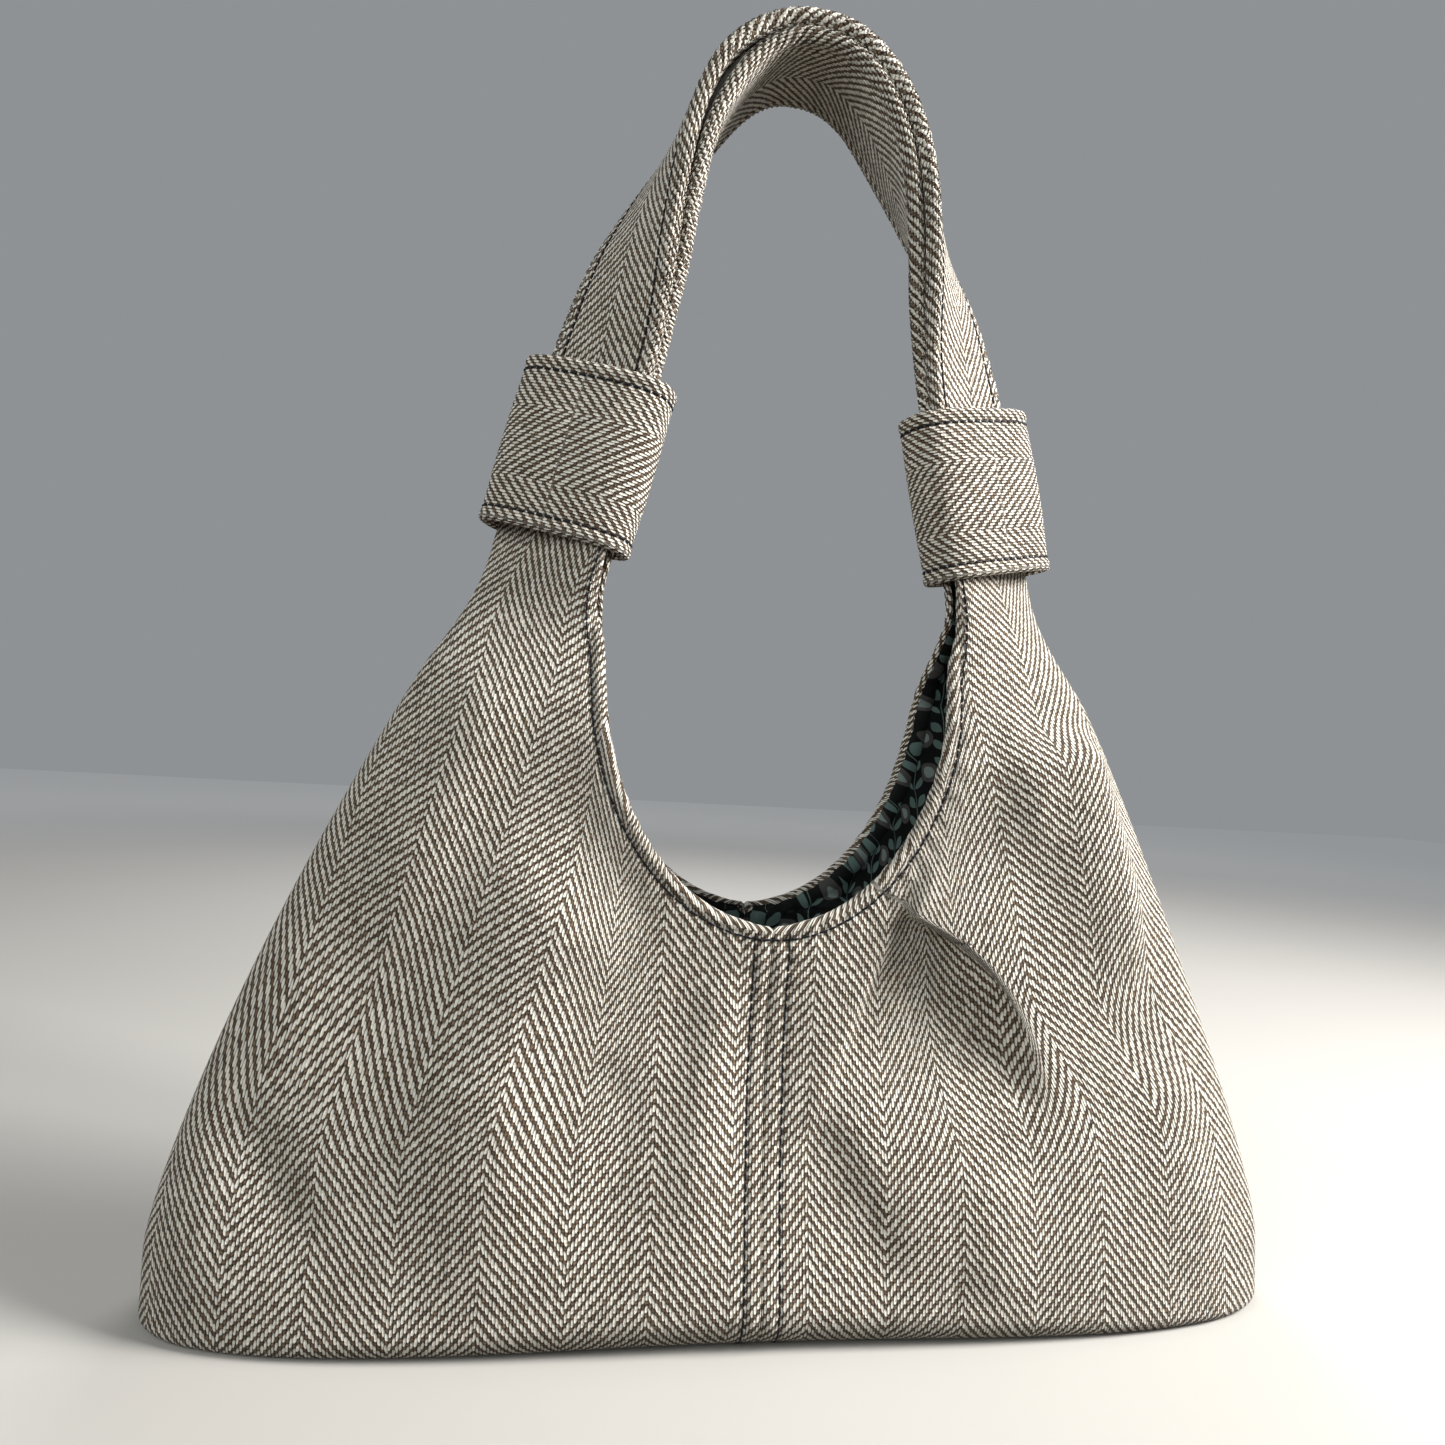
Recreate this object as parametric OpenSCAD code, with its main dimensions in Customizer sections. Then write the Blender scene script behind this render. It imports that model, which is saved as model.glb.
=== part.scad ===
// Herringbone knitting bag: a lined slouch bag with a U-shaped mouth, two sliding cuffs
// and one padded shoulder strap. Origin at the middle of the base, +Z up, front towards -Y.

/* [Body] */
// Half of the width across the bottom corners
half_width = 198; // [190:1:205]
// Half of the depth of the base on the centre plane
base_half_depth = 45; // [40:1:50]
// Half of the depth at the height of the mouth's lowest point
mouth_half_depth = 28; // [26:1:32]
// Radius where the walls roll under into the base
roll_radius = 14; // [12:1:18]
// Radius of the same roll at the bottom corners
corner_radius = 6; // [5.5:0.5:10]
// How far each side leans in between the base and the necks
side_taper = 99; // [95:1:102]

/* [Mouth] */
// Height of the lowest point of the mouth
mouth_low = 136; // [130:1:140]
// Height at which the mouth reaches its full width
mouth_full = 222; // [218:1:226]
// Half of the width of the mouth
mouth_half_width = 61; // [58:1:63]

/* [Necks] */
// Height where the stiff part of the panels ends and the folding neck starts
neck_low = 206; // [204:1:208]

/* [Strap] */
// Height of the strap's centre line at the top of the loop
strap_top = 451; // [440:1:460]
// Height of the strap's centre line where it leaves the cuffs
strap_foot = 325; // [323:1:327]
// Half of the distance between the two legs of the strap at the cuffs
strap_half_span = 68; // [66:1:70]
// Power of the curve that the loop follows: a higher number makes a flatter top
loop_power = 2.35; // [2.2:0.05:2.5]
// Turn of the strap inside the cuffs, from lying in the bag's plane
strap_grip_turn = 32; // [28:1:32]
// Width of the strap
strap_width = 42; // [38:1:42]
// Thickness of the strap where the cuffs grip it
strap_grip_thickness = 9.2; // [8.6:0.1:9.2]
// Thickness of the strap round the loop
strap_loop_thickness = 12.4; // [10:0.1:13]

/* [Cuffs] */
// Length of a cuff along the strap
cuff_length = 62; // [58:1:64]
// Width of a cuff across its flat faces
cuff_width = 57; // [57:1:60]
// Thickness of a cuff from its front face to its back face
cuff_depth = 25; // [25:1:28]
// Thickness of a cuff's folded double wall
cuff_wall = 3.4; // [2.8:0.1:3.4]
// Turn of the cuffs about the strap, so that their faces look a little outwards
cuff_turn = 22; // [22:1:26]

/* [Cloth] */
// Thickness of the herringbone shell cloth
shell_cloth = 2.4; // [1.6:0.1:2.4]
// Thickness of the fusible interlining
interlining_cloth = 1; // [0.6:0.1:1]
// Thickness of the printed cotton lining
lining_cloth = 1.2; // [0.8:0.1:1.2]
// Thickness of the sewing thread
thread = 0.8; // [0.6:0.1:0.8]
// Distance from a finished edge to its topstitching
edge_margin = 5.3; // [4:0.1:7]

/* [Pocket] */
// Width of the slip pocket inside the back lining
pocket_width = 150; // [120:5:160]
// Height of the slip pocket's bottom edge
pocket_low = 32; // [28:1:40]
// Height of the slip pocket's open top edge
pocket_high = 108; // [100:1:112]

/* [Hidden] */

shell_colour = [0.70, 0.66, 0.58];
interlining_colour = [0.93, 0.93, 0.90];
lining_colour = [0.10, 0.13, 0.13];
thread_colour = [0.05, 0.05, 0.08];

gap = 0.1;                 // clearance between neighbouring pieces of cloth
strap_gap = 0.3;           // clearance between the strap's twisted layers
core_gap = 0.5;            // clearance round the strap's core
seam_half = 6;             // distance from the centre seam to each of its two topstitched lines
columns = 12;              // steps across a quarter of the body
base_steps = 3;            // steps from the middle of the base to the roll
roll_steps = 4;            // steps round the roll
wall_steps = 6;            // steps from the roll to the mouth's lowest point
mouth_steps = 9;           // steps from the mouth's lowest point to the neck
loop_steps = 40;           // steps round the strap's loop
strap_cloth = 2.6;         // thickness of each of the strap's layers over its core
strap_turning = 4;         // width of each of the strap's turned edges
cuff_travel = 14;          // how far a cuff slides up the strap
neck_grip = 12;            // length of each neck inside its cuff
neck_rows = 8;             // steps from the panels to the cuff

interlining_at = shell_cloth + gap;
lining_at = interlining_at + interlining_cloth + gap;
pocket_at = lining_at + lining_cloth + 2 * gap;
mouth_rise = mouth_full - mouth_low;
loop_rise = strap_top - strap_foot;
strap_tilt = atan(strap_half_span / (loop_power * loop_rise));
cuff_foot_x = strap_half_span + cuff_length * sin(strap_tilt);
cuff_foot_z = strap_foot - cuff_length * cos(strap_tilt);

// ---- shape of the body ----

function clamp01(t) = max(0, min(1, t));
function smooth(t) = let (c = clamp01(t)) c * c * (3 - 2 * c);

// Half-width and half-depth of the body at height z
function side_x(z) = half_width - side_taper * pow(clamp01((z - 25) / 237), 1.35);
function middle_y(z) =
    base_half_depth
    - (base_half_depth - mouth_half_depth) * smooth(z / 130)
    - 14 * smooth((z - 190) / 72);
// Exponent of the body's section: boxy at the base, oval at the necks
function section_power(z) = 2 + 1.2 * (1 - smooth(z / 150));
// Distance of the mouth's edge from the centre plane at height z
function rim_x(z) =
    z <= mouth_low ? 0
    : z >= mouth_full ? mouth_half_width
    : mouth_half_width * sqrt(1 - pow((mouth_full - z) / mouth_rise, 2));
// Depth of the front wall at x and z, set in by the given amount
function wall_y(x, z, inset) =
    let (n = section_power(z), a = side_x(z) - inset, b = middle_y(z) - inset)
    b * pow(max(0, 1 - pow(min(1, abs(x) / a), n)), 1 / n);

// A point of the body's section at height z: across runs from the centre plane or rim, 0, to the side, 1
function section_point(across, z, section_z, inset, shrink = 1) =
    let (
        n = section_power(section_z),
        a = side_x(section_z) - inset,
        b = middle_y(section_z) - inset,
        start = asin(pow(min(1, rim_x(section_z) / a), n / 2)),
        angle = start + across * (90 - start)
    )
    [shrink * a * pow(sin(angle), 2 / n), shrink * b * pow(cos(angle), 2 / n), z];

// Radius of the roll under the base, which tightens towards the bottom corners
function roll_at(across) = roll_radius + (corner_radius - roll_radius) * across * across;

// Rows of one quarter of the body, from the middle of the base to the neck: [kind, value]
on_base = 0;   // value is the share of the way from the middle of the base to the roll
on_roll = 1;   // value is the angle round the roll
on_wall = 2;   // value is the height
quarter_rows = concat(
    [for (k = [1 : base_steps]) [on_base, k / base_steps]],
    [for (k = [1 : roll_steps]) [on_roll, 90 * k / roll_steps]],
    [for (k = [1 : wall_steps]) [on_wall, roll_radius + (mouth_low - roll_radius) * k / wall_steps]],
    [for (k = [1 : mouth_steps])
        let (last = acos((mouth_full - neck_low) / mouth_rise))
        [on_wall, mouth_full - mouth_rise * cos(last * k / mouth_steps)]]
);

// A point of a quarter's row, at a depth inside the cloth
function quarter_point(across, row, depth) =
    let (r = roll_at(across), s = r - depth, value = row[1])
    row[0] == on_base ? section_point(across, depth, 0, r, value)
    : row[0] == on_roll ? section_point(across, r - s * cos(value), r * value / 90, r - s * sin(value))
    : section_point(across, value, value, depth);

// ---- solids made from grids of points ----

// A sheet between two grids of points, each a list of rows, with an optional pole below the first rows
module sheet(top_rows, bottom_rows, pole = []) {
    rows = len(top_rows);
    columns = len(top_rows[0]);
    count = rows * columns;
    points = concat([for (row = top_rows) each row], [for (row = bottom_rows) each row], pole);
    function top_at(i, j) = j * columns + i;
    function bottom_at(i, j) = count + j * columns + i;
    faces = concat(
        [for (j = [0 : rows - 2], i = [0 : columns - 2]) each [
            [top_at(i, j), top_at(i + 1, j + 1), top_at(i + 1, j)],
            [top_at(i, j), top_at(i, j + 1), top_at(i + 1, j + 1)],
            [bottom_at(i, j), bottom_at(i + 1, j), bottom_at(i + 1, j + 1)],
            [bottom_at(i, j), bottom_at(i + 1, j + 1), bottom_at(i, j + 1)]
        ]],
        [for (j = [0 : rows - 2], e = [0, columns - 1])
            e == 0
            ? [top_at(e, j), bottom_at(e, j), bottom_at(e, j + 1), top_at(e, j + 1)]
            : [top_at(e, j), top_at(e, j + 1), bottom_at(e, j + 1), bottom_at(e, j)]],
        [for (i = [0 : columns - 2])
            [top_at(i, rows - 1), bottom_at(i, rows - 1), bottom_at(i + 1, rows - 1), top_at(i + 1, rows - 1)]],
        len(pole) == 0
        ? [for (i = [0 : columns - 2])
            [top_at(i, 0), top_at(i + 1, 0), bottom_at(i + 1, 0), bottom_at(i, 0)]]
        : concat(
            [for (i = [0 : columns - 2]) each [
                [2 * count, top_at(i, 0), top_at(i + 1, 0)],
                [2 * count + 1, bottom_at(i + 1, 0), bottom_at(i, 0)]
            ]],
            [
                [2 * count, 2 * count + 1, bottom_at(0, 0), top_at(0, 0)],
                [2 * count + 1, 2 * count, top_at(columns - 1, 0), bottom_at(columns - 1, 0)]
            ]
        )
    );
    polyhedron(points = points, faces = triangles(faces));
}

// Splits four-sided faces in two, because their corners are seldom in one plane
function triangles(faces) =
    [for (f = faces) each len(f) == 4 ? [[f[0], f[1], f[2]], [f[0], f[2], f[3]]] : [f]];

// A solid whose sections are the given closed loops of points, with flat ends.
// Its four-sided faces are split along one diagonal, or along the other if it is flipped.
module swept(loops, flipped = false) {
    n = len(loops[0]);
    last = len(loops) - 1;
    points = [for (l = loops) each l];
    sides = [for (j = [0 : last - 1], i = [0 : n - 1])
        let (a = j * n + i, b = j * n + (i + 1) % n, c = a + n, d = b + n)
        each flipped ? [[a, b, c], [b, d, c]] : [[a, b, d], [a, d, c]]];
    ends = [[for (i = [n - 1 : -1 : 0]) i], [for (i = [0 : n - 1]) last * n + i]];
    polyhedron(points = points, faces = concat(sides, ends));
}

// A thread along a path of points. Its square section lies in the given up direction at each point.
module sewn_line(path, ups) {
    last = len(path) - 1;
    swept([for (k = [0 : last])
        let (
            ahead = path[min(last, k + 1)] - path[max(0, k - 1)],
            along = ahead / norm(ahead),
            side = cross(along, ups[k]) / norm(cross(along, ups[k])),
            up = cross(side, along),
            r = thread / 2
        )
        [path[k] - side * r - up * r, path[k] + side * r - up * r,
         path[k] + side * r + up * r, path[k] - side * r + up * r]]);
}

// One quarter of the bag's wall, the back right one, from one depth in the cloth to another
module quarter(from, to) {
    function grid(depth) =
        [for (row = quarter_rows) [for (i = [0 : columns]) quarter_point(i / columns, row, depth)]];
    translate([gap / 2, gap / 2, 0])
        sheet(grid(from), grid(to), [[0, 0, from], [0, 0, to]]);
}

// Puts a back right child in the quarter with these signs of x and y
module in_quarter(x_sign, y_sign) {
    mirror([x_sign < 0 ? 1 : 0, 0, 0]) mirror([0, y_sign < 0 ? 1 : 0, 0]) children();
}

module shell_panel(x_sign, y_sign) {
    color(shell_colour) in_quarter(x_sign, y_sign) quarter(0, shell_cloth);
}

module interlining_panel(x_sign, y_sign) {
    color(interlining_colour) in_quarter(x_sign, y_sign)
        quarter(interlining_at, interlining_at + interlining_cloth);
}

module lining_panel(x_sign, y_sign) {
    color(lining_colour) in_quarter(x_sign, y_sign)
        quarter(lining_at, lining_at + lining_cloth);
}

// ---- slip pocket ----

function pocket_point(across, up, depth) =
    let (x = pocket_width * (across - 0.5), z = pocket_low + (pocket_high - pocket_low) * up)
    [x, wall_y(x, z, depth), z];

module slip_pocket() {
    function grid(depth) = [for (j = [0 : 5]) [for (i = [0 : 12]) pocket_point(i / 12, j / 5, depth)]];
    color(lining_colour) sheet(grid(pocket_at), grid(pocket_at + lining_cloth));
}

module pocket_stitching() {
    depth = pocket_at + lining_cloth + thread / 2;
    inset_u = 3 / pocket_width;
    inset_v = 3 / (pocket_high - pocket_low);
    path = concat(
        [for (k = [6 : -1 : 1]) pocket_point(inset_u, inset_v + (1 - inset_v) * k / 6, depth)],
        [for (k = [0 : 12]) pocket_point(inset_u + (1 - 2 * inset_u) * k / 12, inset_v, depth)],
        [for (k = [1 : 6]) pocket_point(1 - inset_u, inset_v + (1 - inset_v) * k / 6, depth)]
    );
    color(thread_colour) sewn_line(path, [for (p = path) [0, -1, 0]]);
}

// ---- topstitching on the body ----

// Thread round the mouth, a margin below its edge, on the front wall
module rim_stitching() {
    steps = 24;
    half = mouth_half_width + edge_margin;
    rise = mouth_rise + edge_margin;
    last = acos((mouth_full - neck_low + 1) / rise);
    path = [for (k = [-steps : steps])
        let (a = last * k / steps, x = half * sin(a), z = mouth_full - rise * cos(a))
        [x, -wall_y(x, z, -thread / 2), z]];
    color(thread_colour) sewn_line(path, [for (p = path) [0, -1, 0]]);
}

// Two lines of thread beside the centre seam, from the mouth to the base
module seam_stitching() {
    steps = 16;
    high = mouth_low - edge_margin - 2;
    for (x = [-seam_half, seam_half]) {
        wall = [for (k = [0 : steps])
            let (z = high + (roll_radius - high) * k / steps) [x, -wall_y(x, z, -thread / 2), z]];
        roll = [for (k = [1 : roll_steps])
            let (
                a = 90 - 90 * k / roll_steps,
                r = roll_radius + thread / 2,
                y = wall_y(x, roll_radius * a / 90, roll_radius) + r * sin(a)
            )
            [x, -y, roll_radius - roll_radius * cos(a)]];
        path = concat(wall, roll);
        color(thread_colour) sewn_line(path, [for (k = [0 : len(path) - 1])
            k <= steps ? [0, -1, 0] : [0, -sin(90 - 90 * (k - steps) / roll_steps), -cos(90 - 90 * (k - steps) / roll_steps)]]);
    }
}

// ---- strap ----

// Centre line of the loop at a share of its half span, and its direction in the XZ plane
function loop_centre(share) =
    [strap_half_span * share, 0, strap_top - loop_rise * pow(abs(share), loop_power)];
function loop_slope(share) =
    -sign(share) * loop_power * loop_rise / strap_half_span * pow(abs(share), loop_power - 1);
// Turn of the strap's width from the bag's plane, 0, to across the bag, 90
function strap_turn(share) =
    strap_grip_turn + (90 - strap_grip_turn) * smooth((1 - pow(abs(share), loop_power)) / 0.9);
function strap_thickness(share) =
    let (climbed = loop_rise * (1 - pow(abs(share), loop_power)))
    strap_grip_thickness
    + (strap_loop_thickness - strap_grip_thickness) * smooth((climbed - cuff_travel) / 34);

// A place on the strap: [centre, width direction, outward direction, thickness]
function strap_frame(centre, slope, turn, thickness) =
    let (
        along = [1, 0, slope] / norm([1, 0, slope]),
        inward = [along[2], 0, -along[0]],
        front = [0, -1, 0]
    )
    [centre, inward * cos(turn) + front * sin(turn), front * cos(turn) - inward * sin(turn), thickness];

function strap_end(x_sign, below) =
    let (
        slope = loop_slope(x_sign),
        centre = loop_centre(x_sign) + below * [x_sign * sin(strap_tilt), 0, -cos(strap_tilt)]
    )
    strap_frame(centre, slope, strap_grip_turn, strap_grip_thickness);

strap_hidden = cuff_length - neck_grip - 4;  // length of strap inside a cuff

strap_frames = concat(
    [strap_end(-1, strap_hidden), strap_end(-1, strap_hidden / 2)],
    [for (k = [-loop_steps / 2 : loop_steps / 2])
        let (share = 2 * k / loop_steps)
        strap_frame(loop_centre(share), loop_slope(share), strap_turn(share), strap_thickness(share))],
    [strap_end(1, strap_hidden / 2), strap_end(1, strap_hidden)]
);

// Carries points [across, outward] in the strap's section to each place along it
function along_strap(section_of) =
    [for (f = strap_frames) [for (p = section_of(f[3])) f[0] + f[1] * p[0] + f[2] * p[1]]];

function layer_section(thickness, side) =
    let (
        w = strap_width / 2, h = thickness / 2, pocket = h - strap_cloth, flange = w - strap_turning,
        outline = [
            [-w, strap_gap], [-w, h - 2.2], [-w + 0.8, h - 0.7], [-w + 2.6, h], [0, h + 0.3],
            [w - 2.6, h], [w - 0.8, h - 0.7], [w, h - 2.2], [w, strap_gap],
            [flange, strap_gap], [flange, pocket], [-flange, pocket], [-flange, strap_gap]
        ]
    )
    side > 0
    ? [for (p = outline) [p[0], p[1]]]
    : [for (i = [len(outline) - 1 : -1 : 0]) [outline[i][0], -outline[i][1]]];

module strap_layer(side) {
    color(shell_colour) swept(along_strap(function (t) layer_section(t, side)));
}

module strap_core() {
    half = strap_width / 2 - strap_turning - core_gap;
    color(interlining_colour) swept(along_strap(
        function (t) let (h = t / 2 - strap_cloth - core_gap) [[-half, -h], [-half, h], [half, h], [half, -h]]),
        flipped = true);
}

// Thread along one edge of the strap's outer face
module strap_stitching(edge) {
    visible = [for (i = [2 : len(strap_frames) - 3]) strap_frames[i]];
    across = edge * (strap_width / 2 - edge_margin);
    path = [for (f = visible) f[0] + f[1] * across + f[2] * (f[3] / 2 + 0.25 + thread / 2)];
    color(thread_colour) sewn_line(path, [for (f = visible) f[2]]);
}

// ---- cuffs ----

// Puts a child, drawn at the origin along +Z, on the strap at a cuff's lower end
module on_cuff(x_sign) {
    translate([x_sign * cuff_foot_x, 0, cuff_foot_z])
        rotate([0, -x_sign * strap_tilt, 0])
            rotate([0, 0, x_sign * cuff_turn])
                children();
}

module stadium(width, depth) {
    square([width - depth, depth], center = true);
    for (s = [-1, 1]) translate([s * (width - depth) / 2, 0]) circle(d = depth, $fn = 64);
}

module stadium_tube(width, depth, wall, height) {
    linear_extrude(height) difference() {
        stadium(width, depth);
        stadium(width - 2 * wall, depth - 2 * wall);
    }
}

module cuff(x_sign) {
    color(shell_colour) on_cuff(x_sign) stadium_tube(cuff_width, cuff_depth, cuff_wall, cuff_length);
}

module cuff_stitching(x_sign) {
    line = 0.7;
    for (z = [edge_margin, cuff_length - edge_margin])
        color(thread_colour) on_cuff(x_sign) translate([0, 0, z - line / 2])
            stadium_tube(cuff_width + 2 * line, cuff_depth + 2 * line, line - 0.02, line);
}

// ---- necks, which fold when the handle drops ----

// A point of the right neck's section inside the cuff, at a distance below the cuff's top.
// leaf is -1 at the front and 1 at the back.
function gripped_point(across, below, leaf, depth) =
    let (
        f = strap_end(1, below),
        half = strap_width / 2 + 1 - depth / 2,
        angle = 3 + 174 * across,
        rise = 0.6 + (5 - 0.55 * depth) * sin(25 + 0.82 * angle)
    )
    f[0] + f[1] * half * cos(angle) - f[2] * leaf * rise;

// A point of the right neck between the panels, up = 0, and the cuff's foot, up = 1
function free_point(across, up, leaf, depth) =
    let (
        z = neck_low + gap + (cuff_foot_z - neck_low - gap) * up,
        wall = section_point(across, z, z, depth),
        share = smooth((up - 0.15) / 0.85)
    )
    [wall[0], leaf * (wall[1] + gap), wall[2]] * (1 - share)
    + gripped_point(across, cuff_length, leaf, depth) * share;

module neck(x_sign) {
    cloth = lining_at + lining_cloth;
    function grid(leaf, depth) = concat(
        [for (j = [0 : neck_rows])
            [for (i = [0 : columns]) free_point(i / columns, j / neck_rows, leaf, depth)]],
        [[for (i = [0 : columns]) gripped_point(i / columns, cuff_length - neck_grip, leaf, depth)]]
    );
    color(shell_colour) mirror([x_sign < 0 ? 1 : 0, 0, 0]) {
        sheet(grid(1, 0), grid(1, cloth));
        sheet(grid(-1, cloth), grid(-1, 0));
    }
}

shell_panel(-1, -1);  // front_left_panel
shell_panel(1, -1);  // front_right_panel
shell_panel(-1, 1);  // back_left_panel
shell_panel(1, 1);  // back_right_panel
interlining_panel(-1, -1);  // front_left_interlining
interlining_panel(1, -1);  // front_right_interlining
interlining_panel(-1, 1);  // back_left_interlining
interlining_panel(1, 1);  // back_right_interlining
lining_panel(-1, -1);  // front_left_lining
lining_panel(1, -1);  // front_right_lining
lining_panel(-1, 1);  // back_left_lining
lining_panel(1, 1);  // back_right_lining
slip_pocket();
pocket_stitching();
rim_stitching();  // front_rim_stitching
mirror([0, 1, 0]) rim_stitching();  // back_rim_stitching
seam_stitching();  // front_seam_stitching
mirror([0, 1, 0]) seam_stitching();  // back_seam_stitching
neck(-1);  // left_neck
neck(1);  // right_neck
strap_layer(1);  // strap_outer_layer
strap_layer(-1);  // strap_inner_layer
strap_core();
strap_stitching(1);  // strap_front_stitching
strap_stitching(-1);  // strap_back_stitching
cuff(-1);  // left_cuff
cuff(1);  // right_cuff
cuff_stitching(-1);  // left_cuff_stitching
cuff_stitching(1);  // right_cuff_stitching
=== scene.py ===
"""Looks of the herringbone knitting bag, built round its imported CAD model.

All shapes are worked out in millimetres, in the frame's axes, and turned into metres when a mesh is made.
A quarter of the bag is first worked out as the back right one, with x and y above 0, and then mirrored.
"""
import math
from functools import partialmethod

import bpy
import numpy as np
from mathutils import Matrix, Vector
from mathutils.bvhtree import BVHTree


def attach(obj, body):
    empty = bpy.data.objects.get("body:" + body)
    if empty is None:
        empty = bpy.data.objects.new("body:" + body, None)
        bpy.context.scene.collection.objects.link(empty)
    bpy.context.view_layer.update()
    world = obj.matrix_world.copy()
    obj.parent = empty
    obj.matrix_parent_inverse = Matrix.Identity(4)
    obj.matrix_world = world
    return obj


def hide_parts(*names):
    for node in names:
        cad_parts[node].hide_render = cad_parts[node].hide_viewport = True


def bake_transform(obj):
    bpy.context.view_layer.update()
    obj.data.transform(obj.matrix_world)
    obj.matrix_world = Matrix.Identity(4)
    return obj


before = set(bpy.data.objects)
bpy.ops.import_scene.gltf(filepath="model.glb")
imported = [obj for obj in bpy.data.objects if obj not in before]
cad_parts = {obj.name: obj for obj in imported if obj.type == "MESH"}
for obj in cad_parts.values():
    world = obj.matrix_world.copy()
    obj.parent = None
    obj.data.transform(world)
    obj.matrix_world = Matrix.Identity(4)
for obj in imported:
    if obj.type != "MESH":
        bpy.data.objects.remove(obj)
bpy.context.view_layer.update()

MM = 0.001

# ---- driving dimensions, in millimetres and degrees ----

HALF_WIDTH = 198.0          # of the body, across the bottom corners
BASE_HALF_DEPTH = 45.0
MOUTH_HALF_DEPTH = 28.0
NECK_DEPTH_LOSS = 14.0
ROLL_RADIUS = 14.0          # where the walls roll under
CORNER_RADIUS = 4.5         # the same roll at the bottom corners
SIDE_TAPER = 99.0
MOUTH_LOW = 136.0
MOUTH_FULL = 222.0
MOUTH_HALF_WIDTH = 61.0
NECK_LOW = 206.0
CUFF_FOOT_Z = 264.57        # height of the cuffs' lower ends, on the strap's centre line
STRAP_TOP = 451.0
STRAP_FOOT = 325.0
STRAP_HALF_SPAN = 68.0
LOOP_POWER = 2.35
GRIP_TURN = 32.0
STRAP_WIDTH = 42.0
GRIP_THICKNESS = 9.2
LOOP_THICKNESS = 12.4
CUFF_LENGTH = 62.0
CUFF_WIDTH = 57.0
CUFF_DEPTH = 25.0
CUFF_POWER = 2.9            # roundness of its section: 2 for an ellipse, more for a flatter face
CUFF_WALL = 3.4
CUFF_TURN = 22.0
SHELL_CLOTH = 2.2
EDGE_MARGIN = 5.3           # from a finished edge to its topstitching
SEAM_HALF = 6.0             # from the centre seam to each of its topstitched lines
POCKET_WIDTH = 150.0
POCKET_LOW = 32.0
POCKET_HIGH = 108.0
POCKET_GAP, POCKET_CLOTH = 0.25, 0.8
POCKET_ROWS, POCKET_COLUMNS = 56, 96

INTERLINING_FROM, INTERLINING_TO = 2.6, 3.3
LINING_FROM, LINING_TO = 3.7, 4.7

# Rolled edges of the shell: radius of the turn, how far it turns, and what follows it
RIM_RADIUS, RIM_TURN, RIM_TAIL = 2.4, 180.0, 0.8
SEAM_RADIUS, SEAM_TURN, SEAM_TAIL = 0.9, 80.0, 1.2
SEAM_GAP = 0.1              # from a seam's plane to the edge of an inner sheet
LINING_MARGIN = 5.0         # columns of the shell's grid between the rim's roll and an inner sheet's edge
CURL_STEPS, TAIL_STEPS = 9, 2

COLUMNS = 150
BASE_ROWS, ROLL_ROWS, WALL_ROWS, MOUTH_ROWS, NECK_ROWS, GRIP_ROWS = 12, 10, 84, 76, 44, 8
NECK_GRIP = 12.0            # length of a neck inside its cuff

# Weave of the shell, in millimetres along the cloth
STRIPE = 26.3               # width of one stripe of the herringbone
STRIPE_AT = -10.5           # where a stripe starts on the front panels
WARP_PITCH = STRIPE / 24
TWILL_SLOPE = 1.2
TWILL_RISE = 3 * WARP_PITCH * TWILL_SLOPE       # distance up a warp thread from one dash to the next
STRIPE_LEAN, LEAN_FROM = 0.245, 62.0            # how far the stripes lean out, and the height it starts at
PLEAT_TAKES = 12.5          # width of cloth hidden in the right pleat

# Separate stitches of the thread
STITCH, STITCH_GAP, STITCH_RADIUS, STITCH_LIFT = 3.1, 0.3, 0.4, 0.26
STITCH_SIDES, STITCH_RINGS = 7, 8


def clamp01(t):
    return np.clip(t, 0.0, 1.0)


def smooth(t):
    c = clamp01(t)
    return c * c * (3 - 2 * c)


def mix(a, b, t):
    return a + (b - a) * t


def bump_at(distance, width):
    return np.exp(-((distance / width) ** 2))


def unit(v):
    return v / np.maximum(np.linalg.norm(v, axis=-1, keepdims=True), 1e-9)


def walked_along(points):
    """The length from the first point of a line to each of its points."""
    steps = np.linalg.norm(np.diff(points, axis=0), axis=1)
    return np.concatenate([[0], np.cumsum(steps)])


# ---- shape of the body ----


def side_x(z):
    return HALF_WIDTH - SIDE_TAPER * clamp01((z - 25) / 237) ** 1.35


def middle_y(z):
    narrowing = (BASE_HALF_DEPTH - MOUTH_HALF_DEPTH) * smooth(z / 130)
    return BASE_HALF_DEPTH - narrowing - NECK_DEPTH_LOSS * smooth((z - 190) / 72)


def section_power(z):
    return 2 + 1.2 * (1 - smooth(z / 150))


def edge_x(z):
    """Distance from the centre plane to where the cloth starts to turn in, at the seam or at the mouth."""
    rise = MOUTH_FULL - MOUTH_LOW + RIM_RADIUS
    share = np.clip((MOUTH_FULL - z) / rise, 0, 1)
    rim = (MOUTH_HALF_WIDTH + RIM_RADIUS) * np.sqrt(1 - share**2)
    return np.maximum(SEAM_RADIUS, rim)


def roll_at(across):
    return mix(ROLL_RADIUS, CORNER_RADIUS, smooth(across * 1.15))


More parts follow.
